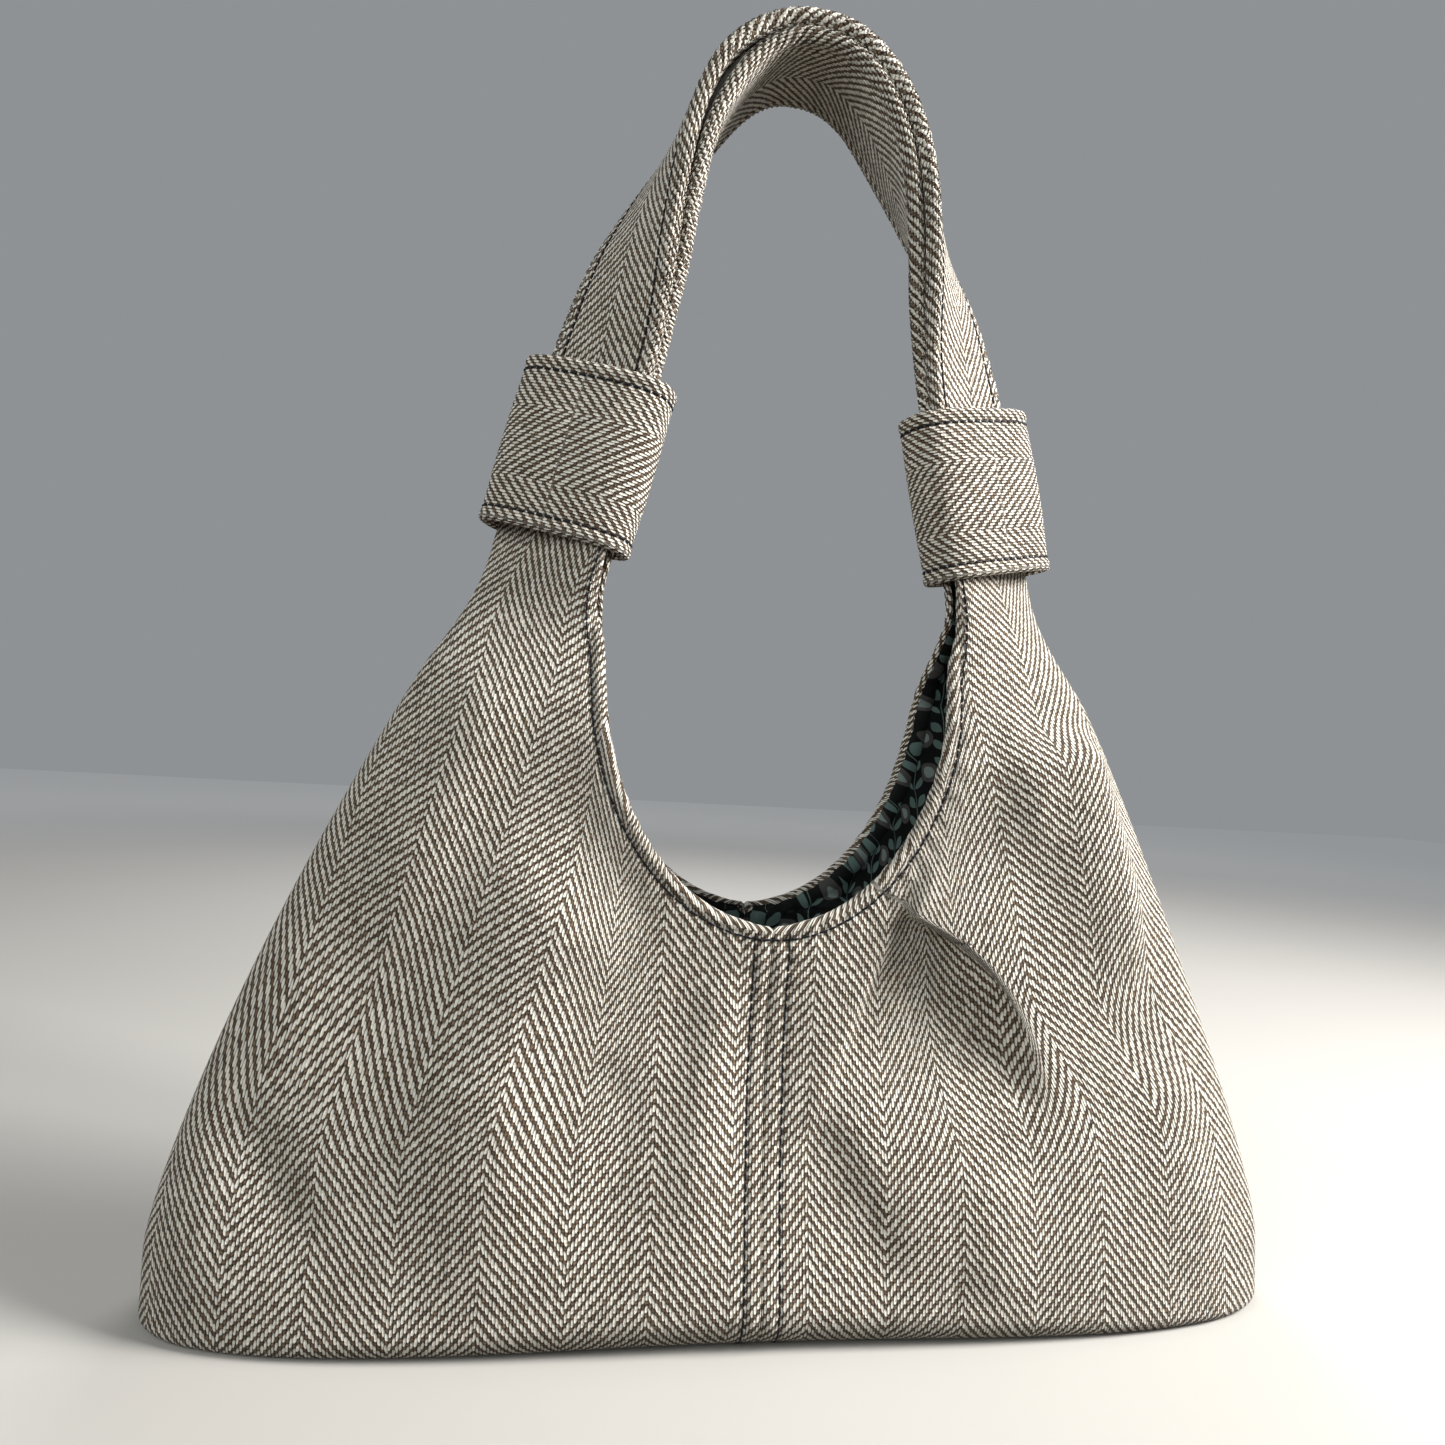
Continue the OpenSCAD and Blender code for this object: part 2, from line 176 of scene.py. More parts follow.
def section_at(z, inset, across):
    """Points of the body's section at heights z, spaced by length from the edge, across = 0, to the side, 1.

    Returns x, y and the length along the section from the centre plane.
    """
    n = section_power(z)[:, None]
    a = (side_x(z) - inset)[:, None]
    b = (middle_y(z) - inset)[:, None]
    t = np.linspace(0, 1, 401)[None, :]
    spread = t**1.6 / (t**1.6 + (1 - t) ** 1.6)
    angle = spread * math.pi / 2
    x = a * np.sin(angle) ** (2 / n)
    y = b * np.clip(np.cos(angle), 0, 1) ** (2 / n)
    step = np.hypot(np.diff(x, axis=1), np.diff(y, axis=1))
    length = np.concatenate([np.zeros((len(z), 1)), np.cumsum(step, axis=1)], axis=1)
    first = rows_interp(edge_x(z), x, length)
    last = rows_interp(np.full(len(z), -SEAM_RADIUS), -y, length)
    target = first + across * (last - first)
    return rows_interp(target, length, x), rows_interp(target, length, y), target


def rows_interp(at, xs, ys):
    """np.interp, one row of the tables for each value."""
    k = np.clip((xs < at[:, None]).sum(axis=1), 1, xs.shape[1] - 1)
    i = np.arange(len(at))
    x0, x1 = xs[i, k - 1], xs[i, k]
    share = clamp01((at - x0) / np.maximum(x1 - x0, 1e-9))
    return mix(ys[i, k - 1], ys[i, k], share)


# ---- strap's centre line and frames ----

LOOP_RISE = STRAP_TOP - STRAP_FOOT
TILT = math.atan(STRAP_HALF_SPAN / (LOOP_POWER * LOOP_RISE))


def strap_place(share, below, turn):
    """Centre, width direction and outward direction of the strap at shares of its half span."""
    sign = np.sign(share)
    centre = np.stack([
        STRAP_HALF_SPAN * share + below * sign * math.sin(TILT),
        0 * share,
        STRAP_TOP - LOOP_RISE * np.abs(share) ** LOOP_POWER - below * math.cos(TILT),
    ], axis=-1)
    slope = -sign * LOOP_POWER * LOOP_RISE / STRAP_HALF_SPAN * np.abs(share) ** (LOOP_POWER - 1)
    along = unit(np.stack([np.ones_like(share), 0 * share, slope], axis=-1))
    inward = np.stack([along[..., 2], 0 * share, -along[..., 0]], axis=-1)
    front = np.zeros_like(inward)
    front[..., 1] = -1
    c, s = np.cos(np.radians(turn))[..., None], np.sin(np.radians(turn))[..., None]
    return centre, inward * c + front * s, front * c - inward * s


def strap_end(below):
    """The strap's frame inside the right cuff, at distances below the cuff's top."""
    ones = np.ones_like(below)
    return strap_place(ones, below, GRIP_TURN * ones)


def gripped_point(across, below, leaf):
    """Outer face of the right neck inside its cuff, at the front (leaf -1) or the back (1).

    The front's y is turned to above 0.
    """
    centre, wide, outward = strap_end(below)
    angle = 3 + 174 * across
    half = STRAP_WIDTH / 2 + 3
    rise = 0.45 + 5.1 * np.sin(np.radians(25 + 0.862 * angle))
    sideways = wide * (half * np.cos(np.radians(angle)))[:, None]
    point = centre + sideways - outward * (leaf * rise)[:, None]
    return point * np.array([1.0, leaf, 1.0])


# ---- folds of the cloth ----


def curve_through(controls, steps=40):
    """Points along the Bezier curve of four control points."""
    t = np.linspace(0, 1, steps)[:, None]
    p = np.array(controls, float)
    first, last = (1 - t) ** 3 * p[0], t**3 * p[3]
    return first + 3 * t * (1 - t) ** 2 * p[1] + 3 * t * t * (1 - t) * p[2] + last


def near_curve(x, z, curve):
    """Signed distance from a curve, above 0 on its left, the share along it, and the way across it."""
    best = np.full(x.shape, 1e9)
    signed, share = np.zeros(x.shape), np.zeros(x.shape)
    way_x, way_z = np.zeros(x.shape), np.zeros(x.shape)
    for k in range(len(curve) - 1):
        (x0, z0), (x1, z1) = curve[k], curve[k + 1]
        dx, dz = x1 - x0, z1 - z0
        size = math.hypot(dx, dz)
        t = clamp01(((x - x0) * dx + (z - z0) * dz) / size**2)
        distance = np.hypot(x - x0 - t * dx, z - z0 - t * dz)
        side = (dx * (z - z0) - dz * (x - x0)) / size
        closer = distance < best
        best = np.where(closer, distance, best)
        signed = np.where(closer, np.where(side >= 0, distance, -distance), signed)
        share = np.where(closer, (k + t) / (len(curve) - 1), share)
        way_x = np.where(closer, -dz / size, way_x)
        way_z = np.where(closer, dx / size, way_z)
    return signed, share, way_x, way_z


RIGHT_PLEAT = curve_through([(46, 145), (72, 134), (107, 118), (104, 40)])
BACK_RIGHT_PLEAT = curve_through([(34, 142), (60, 128), (92, 112), (98, 58)])
BACK_LEFT_PLEAT = curve_through([(-40, 144), (-66, 126), (-92, 104), (-88, 40)])

# Soft folds of the front: control points from the top down, height, and widths on the +x and -x sides
FRONT_FOLDS = (
    ([(-47, 146), (-86, 122), (-106, 84), (-70, 10)], 11.5, 15.0, 28.0),
    ([(104, 216), (116, 186), (131, 146), (141, 96)], 10.0, 12.0, 27.0),
    ([(-14, 126), (-18, 95), (-22, 60), (-27, 8)], 3.6, 9.0, 9.0),
    ([(15, 76), (24, 56), (36, 36), (52, 6)], -3.2, 9.0, 14.0),
    ([(-174, 76), (-162, 58), (-150, 44), (-136, 24)], -2.6, 8.0, 11.0),
    ([(70, 104), (84, 97), (95, 84), (99, 60)], -2.4, 7.0, 8.0),
    ([(-90, 236), (-104, 190), (-120, 150), (-142, 104)], 3.6, 13.0, 15.0),
    ([(82, 226), (88, 200), (93, 178), (98, 152)], 1.8, 8.0, 9.0),
    ([(-52, 96), (-48, 70), (-50, 44), (-58, 14)], -2.6, 10.0, 10.0),
    ([(150, 92), (156, 70), (160, 46), (158, 14)], 2.2, 12.0, 14.0),
    ([(84, 62), (80, 44), (78, 28), (80, 8)], 2.4, 12.0, 12.0),
)


def pleat(x, z, curve, ridge, hollow, overlap, side):
    """Moves of the cloth, out and along x and z, beside a fold that overhangs a hollow on one side."""
    signed, share, way_x, way_z = near_curve(x, z, curve)
    s = signed * side
    fade = smooth(share / 0.08 + 0.1) * (1 - smooth((share - 0.4) / 0.5))
    steep = 3.0 + 8.0 * smooth((share - 0.2) / 0.5)
    crest = np.where(s > 0, bump_at(s, 18.0), bump_at(s, steep))
    depth = np.maximum(-s, 0.0)
    valley = smooth(depth / 30) * (1 - smooth((depth - 28) / 72))
    slit = (1 - np.exp(-depth / 2.0)) * bump_at(depth, 8.5) * (1 - smooth((share - 0.15) / 0.45))
    low = smooth(share / 0.1 + 0.1) * (1 - smooth((share - 0.6) / 0.4))
    out = fade * (ridge * crest - 0.6 * hollow * slit) - low * hollow * valley
    pull = -overlap * fade * np.where(s > 0, bump_at(s, 14.0), bump_at(s, 2.6)) * side
    return out, pull * way_x, pull * way_z


def soft_fold(x, z, controls, height, plus_side, minus_side):
    """A ridge, or a groove if its height is below 0, along a curve that runs down the cloth."""
    signed, share, _, _ = near_curve(x, z, curve_through(controls, 24))
    fade = smooth(share / 0.22) * (1 - smooth((share - 0.6) / 0.4))
    return height * fade * np.where(signed > 0, bump_at(signed, plus_side), bump_at(signed, minus_side))


def slow_waves(x, z, seed):
    """Gentle uneven swell of a sagging cloth, about 1 mm."""
    rng = np.random.default_rng(seed)
    total = np.zeros(x.shape)
    for size in (95.0, 70.0, 52.0, 38.0, 27.0):
        way = rng.uniform(0, 2 * math.pi)
        start = rng.uniform(0, 2 * math.pi)
        along = x * math.cos(way) + 0.7 * z * math.sin(way)
        total += size / 150 * np.sin(along * 2 * math.pi / size + start)
    return total


def front_folds(x, z):
    out, dx, dz = pleat(x, z, RIGHT_PLEAT, 4.6, 7.6, 3.2, 1)
    for fold in FRONT_FOLDS:
        out = out + soft_fold(x, z, *fold)
    out = out - 3.5 * bump_at(x - 6, 26.0) * smooth((z - 8) / 40) * (1 - smooth((z - 96) / 36))
    return out + 0.8 * slow_waves(x, z, 11), dx, dz


def back_folds(x, z):
    out, dx, dz = pleat(x, z, BACK_RIGHT_PLEAT, 2.4, 3.2, 2.2, 1)
    out2, dx2, dz2 = pleat(x, z, BACK_LEFT_PLEAT, 2.6, 3.6, 2.6, -1)
    return out + out2 + 0.7 * slow_waves(x, z, 23), dx + dx2, dz + dz2


def sewn_relief(x, z):
    """Small moves of the cloth beside its topstitching: grooves, puckers and the puffed edge of the mouth."""
    seam = np.abs(x)
    on_seam = smooth((MOUTH_LOW - 3 - z) / 4)
    line = seam - SEAM_HALF
    out = on_seam * (-0.55 * bump_at(line, 1.1) + 0.45 * bump_at(seam - 3.0, 1.9))
    pucker = np.sin(2 * math.pi * z / 7.3 + 1.1 * np.sin(z / 13) + np.where(x > 0, 0.0, 2.1))
    out = out + on_seam * 0.3 * pucker * bump_at(line - 1.5, 4.5)
    along, edge = rim_distance(x, z)
    rim = smooth((z - MOUTH_LOW + 12) / 6)
    out = out + rim * (-0.6 * bump_at(edge - EDGE_MARGIN, 1.2) + 0.55 * bump_at(edge - 2.7, 2.1))
    pucker = np.sin(along * 2 * math.pi / 7.9 + 1.3 * np.sin(along / 11))
    return out + rim * 0.32 * pucker * bump_at(edge - EDGE_MARGIN - 2, 4.5)


def rim_distance(x, z):
    """Length along the mouth's edge and distance from it, both near enough for small relief."""
    rise = MOUTH_FULL - MOUTH_LOW
    down = np.maximum(MOUTH_FULL - z, 0.0)
    angle = np.arctan2(np.abs(x) / MOUTH_HALF_WIDTH, down / rise)
    edge_at = np.hypot(MOUTH_HALF_WIDTH * np.sin(angle), rise * np.cos(angle))
    beside = np.abs(x) - MOUTH_HALF_WIDTH
    length = angle * 75 + np.maximum(z - MOUTH_FULL, 0.0)
    return length, np.where(z > MOUTH_FULL, beside, np.hypot(x, down) - edge_at)


# ---- one quarter of the body, as grids of points ----


def quarter_grid(leaf):
    """Outer face of a right quarter before its folds, from the middle of the base to inside the cuff.

    Returns the points, the lengths across and up the cloth, and how far each row is up its neck, from 0 to 1.
    """
    t = np.linspace(0, 1, COLUMNS)
    across = 0.55 * t + 0.45 * t * t
    turn_in = roll_at(across)
    points, u, v, neck = [], [], [], []

    def add(x, y, z, length, height, up=0.0):
        points.append(np.stack([x, y, z], axis=-1))
        u.append(length)
        v.append(height)
        neck.append(up)

    zero = np.zeros(COLUMNS)
    base_x, base_y, base_u = section_at(zero, turn_in, across)
    base_v = turn_in * (1 - math.pi / 2)
    for share in np.linspace(0.02, 1, BASE_ROWS):
        add(base_x, share * base_y, zero, base_u, base_v - base_y * (1 - share))
    for angle in np.linspace(0, math.pi / 2, ROLL_ROWS + 1)[1:]:
        height = turn_in * (1 - math.cos(angle))
        inset = turn_in * (1 - math.sin(angle))
        x, y, length = section_at(turn_in * angle / (math.pi / 2), inset, across)
        add(x, y, height, length, turn_in * (1 - math.pi / 2 + angle))
    seam_top = MOUTH_LOW - RIM_RADIUS
    walls = [mix(turn_in, seam_top, share) for share in np.linspace(0, 1, WALL_ROWS + 1)[1:]]
    rise = MOUTH_FULL - seam_top
    last = math.acos((MOUTH_FULL - NECK_LOW) / rise)
    away = smooth(across / 0.55)
    for share in np.linspace(0, 1, MOUTH_ROWS + 1)[1:]:
        at_rim = MOUTH_FULL - rise * math.cos(last * share)
        walls.append(mix(at_rim, mix(seam_top, NECK_LOW, share), away))
    for z in walls:
        x, y, length = section_at(z, 0, across)
        add(x, y, z, length, z)
    for up in np.linspace(0, 1, NECK_ROWS + 1)[1:]:
        z = np.full(COLUMNS, mix(NECK_LOW, CUFF_FOOT_Z, up))
        x, y, length = section_at(z, 0, across)
        wall = np.stack([x, y, z], axis=-1)
        share = smooth((up - 0.15) / 0.85)
        below = CUFF_LENGTH + (CUFF_FOOT_Z - z) / math.cos(TILT)
        p = mix(wall, gripped_point(across, below, leaf), share)
        add(*p.T, mix(length, length[0] + walked_along(p), smooth(up * 2)), z, up)
    for below in np.linspace(CUFF_LENGTH, CUFF_LENGTH - NECK_GRIP, GRIP_ROWS + 1)[1:]:
        p = gripped_point(across, np.full(COLUMNS, below), leaf)
        add(*p.T, u[-1], v[-1] + NECK_GRIP / GRIP_ROWS, 1.0)
    return np.array(points), np.array(u), np.array(v), np.array(neck), across


def grid_normals(points):
    up = np.gradient(points, axis=0)
    over = np.gradient(points, axis=1)
    return unit(np.cross(up, over))


def evened(normals, weight, reach=5):
    """Normals averaged with those of the rows beside them, as far as each row's weight says."""
    padded = np.pad(normals, ((reach, reach), (0, 0), (0, 0)), mode="edge")
    average = sum(padded[k:k + len(normals)] for k in range(2 * reach + 1)) / (2 * reach + 1)
    return unit(mix(normals, average, weight[:, None, None]))


def weave_place(x, z, u, v, x_sign, y_sign):
    """Where each point of the shell is on its cloth: across the stripes, and along the warp threads."""
    ramp = smooth((np.abs(x) - 35) / 35)
    across = u + STRIPE_LEAN * np.maximum(0, z - LEAN_FROM) * ramp
    if y_sign < 0 and x_sign > 0:
        signed = near_curve(x, z, RIGHT_PLEAT)[0]
        across = across + PLEAT_TAKES * smooth(signed / 3 + 0.5) * smooth((z - 70) / 50)
    along = v - STRIPE_LEAN * np.maximum(0, np.abs(x) - 50) * smooth((z - LEAN_FROM) / 80)
    return across * x_sign, along


class Quarter:
    """One quarter of the bag's body: its folded outer face, and the edges that turn in round it."""

    def __init__(self, x_sign, y_sign):
        self.signs = np.array([x_sign, y_sign, 1.0])
        points, u, v, neck, across = quarter_grid(y_sign)
        x, z = points[..., 0] * x_sign, points[..., 2]
        normals = grid_normals(points)
        folds = front_folds if y_sign < 0 else back_folds
        out, dx, dz = folds(x, z)
        calm = smooth((1 - across[None, :]) / 0.12) * smooth((z - 3) / 22) * (1 - smooth((z - 196) / 30))
        near_rim = smooth((rim_distance(x, z)[1] - 2) / 10)
        free = calm * mix(0.15, 1.0, near_rim)
        small = sewn_relief(x, z) * smooth((z - 4) / 8) * (1 - smooth((neck[:, None] - 0.7) / 0.3))
        moved = points + normals * (out * free + small)[..., None]
        moved[..., 0] += dx * free * x_sign
        moved[..., 2] += dz * free
        self.squeeze = mix(1.0, 0.5, smooth(neck))[:, None]
        self.points = moved
        crowded = smooth((z[:, 0] - MOUTH_LOW + 6) / 3) * (1 - smooth((z[:, 0] - MOUTH_LOW - 6) / 8))
        self.normals = evened(grid_normals(moved), crowded)
        self.u, self.v = weave_place(x, z, u, v, x_sign, y_sign)
        self.u_step = x_sign
        self.z = z
        self.flip = x_sign * y_sign < 0

    def rolled(self):
        """The outer face with both of its turned edges: points, normals, weave places and cloth thickness."""
        rim = smooth((self.z[:, 0] - (MOUTH_LOW - RIM_RADIUS - 1.5)) / 3)
        squeeze = self.squeeze[:, 0]
        radius = mix(SEAM_RADIUS, RIM_RADIUS * squeeze, rim)
        turn = np.radians(mix(SEAM_TURN, RIM_TURN, rim))
        tail = mix(SEAM_TAIL, RIM_TAIL * squeeze, rim)
        inner = self.turned(0, radius, turn, tail)
        size, angle = np.full(len(rim), SEAM_RADIUS), np.full(len(rim), math.radians(SEAM_TURN))
        outer = self.turned(-1, size, angle, SEAM_TAIL * squeeze)
        flat = np.broadcast_to(SHELL_CLOTH * self.squeeze, self.u.shape)
        middle = (self.points, self.normals, self.u, self.v, flat)
        parts = [[a[:, ::-1] for a in inner], middle, outer]
        return [np.concatenate([p[k] for p in parts], axis=1) for k in range(5)]

    def turned(self, edge, radius, turn, tail):
        """Columns that continue the face past one of its edges: round a turn, then straight."""
        start, n = self.points[:, edge], self.normals[:, edge]
        row_way = unit(np.gradient(start, axis=0))
        t = unit(np.cross(row_way, n) if edge == 0 else np.cross(n, row_way))
        sign = -self.u_step if edge == 0 else self.u_step
        points, normals, u, thick = [], [], [], []
        for k in range(1, CURL_STEPS + TAIL_STEPS + 1):
            angle = (turn * min(1, k / CURL_STEPS))[:, None]
            extra = tail * max(0, k - CURL_STEPS) / TAIL_STEPS
            at = start + radius[:, None] * (np.sin(angle) * t + (np.cos(angle) - 1) * n)
            way = np.cos(angle) * t - np.sin(angle) * n
            points.append(at + way * extra[:, None])
            normals.append(np.cos(angle) * n + np.sin(angle) * t)
            u.append(self.u[:, edge] + sign * (radius * angle[:, 0] + extra))
            share = min(1, k / CURL_STEPS)
            thick.append(mix(SHELL_CLOTH * self.squeeze[:, 0], 0.42 * self.squeeze[:, 0], share))
        v = np.repeat(self.v[:, edge][:, None], len(points), axis=1)
        points, normals, u, thick = (np.stack(part, axis=1) for part in (points, normals, u, thick))
        return points, normals, u, v, thick


# ---- meshes ----


def make_object(name, vertices, faces, cloth=None):
    """A mesh object from points in millimetres, with each point's place on its cloth if that is given."""
    mesh = bpy.data.meshes.new(name)
    mesh.from_pydata((np.asarray(vertices, float) * MM).tolist(), [], [list(map(int, f)) for f in faces])
    if cloth is not None:
        place = mesh.attributes.new("cloth_at", "FLOAT_VECTOR", "POINT")
        place.data.foreach_set("vector", np.ascontiguousarray(cloth, np.float32).ravel())
    mesh.polygons.foreach_set("use_smooth", np.ones(len(mesh.polygons), bool))
    mesh.validate()
    mesh.update()
    made = bpy.data.objects.new(name, mesh)
    bpy.context.scene.collection.objects.link(made)
    return made


def cloth_places(u, v):
    return np.stack([u.ravel(), v.ravel(), np.zeros(u.size)], axis=-1)


def grid_faces(rows, columns, start=0, flip=False):
    i = np.arange(columns - 1)[None, :]
    j = np.arange(rows - 1)[:, None]
    a = start + j * columns + i
    quads = np.stack([a, a + 1, a + 1 + columns, a + columns], axis=-1).reshape(-1, 4)
    return quads[:, ::-1] if flip else quads


def closed_sheet(name, outer, inner, u, v, flip=False):
    """A solid between two grids of points."""
    rows, columns = outer.shape[:2]
    count = rows * columns
    ids = np.arange(count).reshape(rows, columns)
    ring = np.concatenate([ids[0, :-1], ids[:-1, -1], ids[-1, :0:-1], ids[:0:-1, 0]])
    after = np.roll(ring, -1)
    border = np.stack([ring, after, after + count, ring + count], axis=-1)
    faces = np.concatenate([
        grid_faces(rows, columns, 0, flip),
        grid_faces(rows, columns, count, not flip),
        border if flip else border[:, ::-1],
    ])
    vertices = np.concatenate([outer.reshape(-1, 3), inner.reshape(-1, 3)])
    return make_object(name, vertices, faces, np.tile(cloth_places(u, v), (2, 1)))


def tube_faces(rows, columns, start=0):
    """Faces of a tube whose sections are closed loops of points, with flat ends."""
    ids = start + np.arange(rows * columns).reshape(rows, columns)
    right = np.roll(ids, -1, axis=1)
    faces = np.stack([ids[:-1], ids[1:], right[1:], right[:-1]], axis=-1).reshape(-1, 4)
    return faces.tolist() + [ids[0].tolist(), ids[-1, ::-1].tolist()]


def swept_tube(name, loops, u, v):
    return make_object(name, loops.reshape(-1, 3), tube_faces(*loops.shape[:2]), cloth_places(u, v))


def ring_tube(name, loops, u, v):
    """A closed ring whose sections are closed loops of points."""
    rows, columns = loops.shape[:2]
    ids = np.arange(rows * columns).reshape(rows, columns)
    right, ahead = np.roll(ids, -1, axis=1), np.roll(ids, -1, axis=0)
    faces = np.stack([ids, ahead, np.roll(right, -1, axis=0), right], axis=-1).reshape(-1, 4)
    return make_object(name, loops.reshape(-1, 3), faces, cloth_places(u, v))


# ---- materials ----


def new_node(tree, kind, inputs, **settings):
    """A shader node with its settings and its inputs: Numbers, other nodes' outputs or plain values."""
    node = tree.nodes.new("ShaderNode" + kind)
    for name, value in settings.items():
        setattr(node, name, value)
    for key, value in inputs.items():
        value = getattr(value, "socket", value)
        if isinstance(value, bpy.types.NodeSocket):
            tree.links.new(value, node.inputs[key])
        else:
            node.inputs[key].default_value = value
    return node


def parts_of(tree, socket, count):
    """The first numbers of a vector or of a colour."""
    node = new_node(tree, "SeparateXYZ", {0: socket})
    return [Number(tree, node.outputs[k]) for k in range(count)]


class Number:
    """A value inside a material's nodes, so that a pattern can be written as a formula."""

    def __init__(self, tree, socket):
        self.tree, self.socket = tree, socket

    def math(self, operation, *others):
        node = new_node(self.tree, "Math", dict(enumerate((self,) + others)), operation=operation)
        return Number(self.tree, node.outputs[0])

    __add__ = partialmethod(math, "ADD")
    __sub__ = partialmethod(math, "SUBTRACT")
    __mul__ = partialmethod(math, "MULTIPLY")
    __truediv__ = partialmethod(math, "DIVIDE")
    fract = partialmethod(math, "FRACT")
    floor = partialmethod(math, "FLOOR")
    abs = partialmethod(math, "ABSOLUTE")

    def reversed(self):
        return self * -1 + 1

    def step_between(self, low, high):
        """0 below low, 1 above high, and smooth in between."""
        inputs = {"Value": self, "From Min": low, "From Max": high}
        node = new_node(self.tree, "MapRange", inputs, interpolation_type="SMOOTHSTEP")
        return Number(self.tree, node.outputs["Result"])


class Finish:
    """A material under construction, with short ways to add what the cloths need."""

    def __init__(self, name, roughness, sheen=0.0):
        self.material = bpy.data.materials.new(name)
        self.material.use_nodes = True
        self.tree = self.material.node_tree
        self.shader = self.tree.nodes["Principled BSDF"]
        self.shader.inputs["Roughness"].default_value = roughness
        self.shader.inputs["Sheen Weight"].default_value = sheen
        self.shader.inputs["Sheen Roughness"].default_value = 0.45
        self.shader.inputs["Specular IOR Level"].default_value = 0.2

    def cloth_at(self):
        node = new_node(self.tree, "Attribute", {}, attribute_name="cloth_at")
        return parts_of(self.tree, node.outputs["Vector"], 2)

    def object_at(self):
        return new_node(self.tree, "TexCoord", {}).outputs["Object"]

    def joined(self, x, y, z=0.0):
        return new_node(self.tree, "CombineXYZ", {0: x, 1: y, 2: z}).outputs[0]

    def random(self, x, y, z=0.0):
        """Three random numbers for each whole x, y and z."""
        node = new_node(self.tree, "TexWhiteNoise", {"Vector": self.joined(x, y, z)}, noise_dimensions="3D")
        return parts_of(self.tree, node.outputs["Color"], 3)

    def noise(self, vector, scale, detail):
        """A smooth noise, and a colour made of three unrelated ones."""
        node = new_node(self.tree, "TexNoise", {"Vector": vector, "Scale": scale, "Detail": detail})
        return Number(self.tree, node.outputs["Fac"]), node.outputs["Color"]

    def mixed(self, share, first, second):
        """A colour part of the way from one colour to another."""
        inputs = {"Factor": share, 6: first, 7: second}
        return new_node(self.tree, "Mix", inputs, data_type="RGBA").outputs[2]

    def shaded(self, colour, factor):
        """A colour made darker or lighter by a factor."""
        return new_node(self.tree, "VectorMath", {0: colour, "Scale": factor}, operation="SCALE").outputs[0]

    def colour(self, socket):
        self.tree.links.new(socket, self.shader.inputs["Base Color"])

    def relief(self, height, distance, strength):
        """Fine relief, as high as a distance in millimetres."""
        inputs = {"Strength": strength, "Distance": distance * MM, "Height": height}
        node = new_node(self.tree, "Bump", inputs)
        self.tree.links.new(node.outputs["Normal"], self.shader.inputs["Normal"])


def linear(*colour):
    """A colour given in 8-bit sRGB, as the shader takes it."""
    shares = (value / 255 for value in colour)
    return tuple(c / 12.92 if c <= 0.04045 else ((c + 0.055) / 1.055) ** 2.4 for c in shares) + (1.0,)


CREAM, SHADED_CREAM = linear(248, 245, 238), linear(222, 215, 200)
# The near-black second colour is painted shade in the holes between the yarns
TAUPE, HOLE_SHADE = linear(112, 94, 77), linear(26, 21, 17)


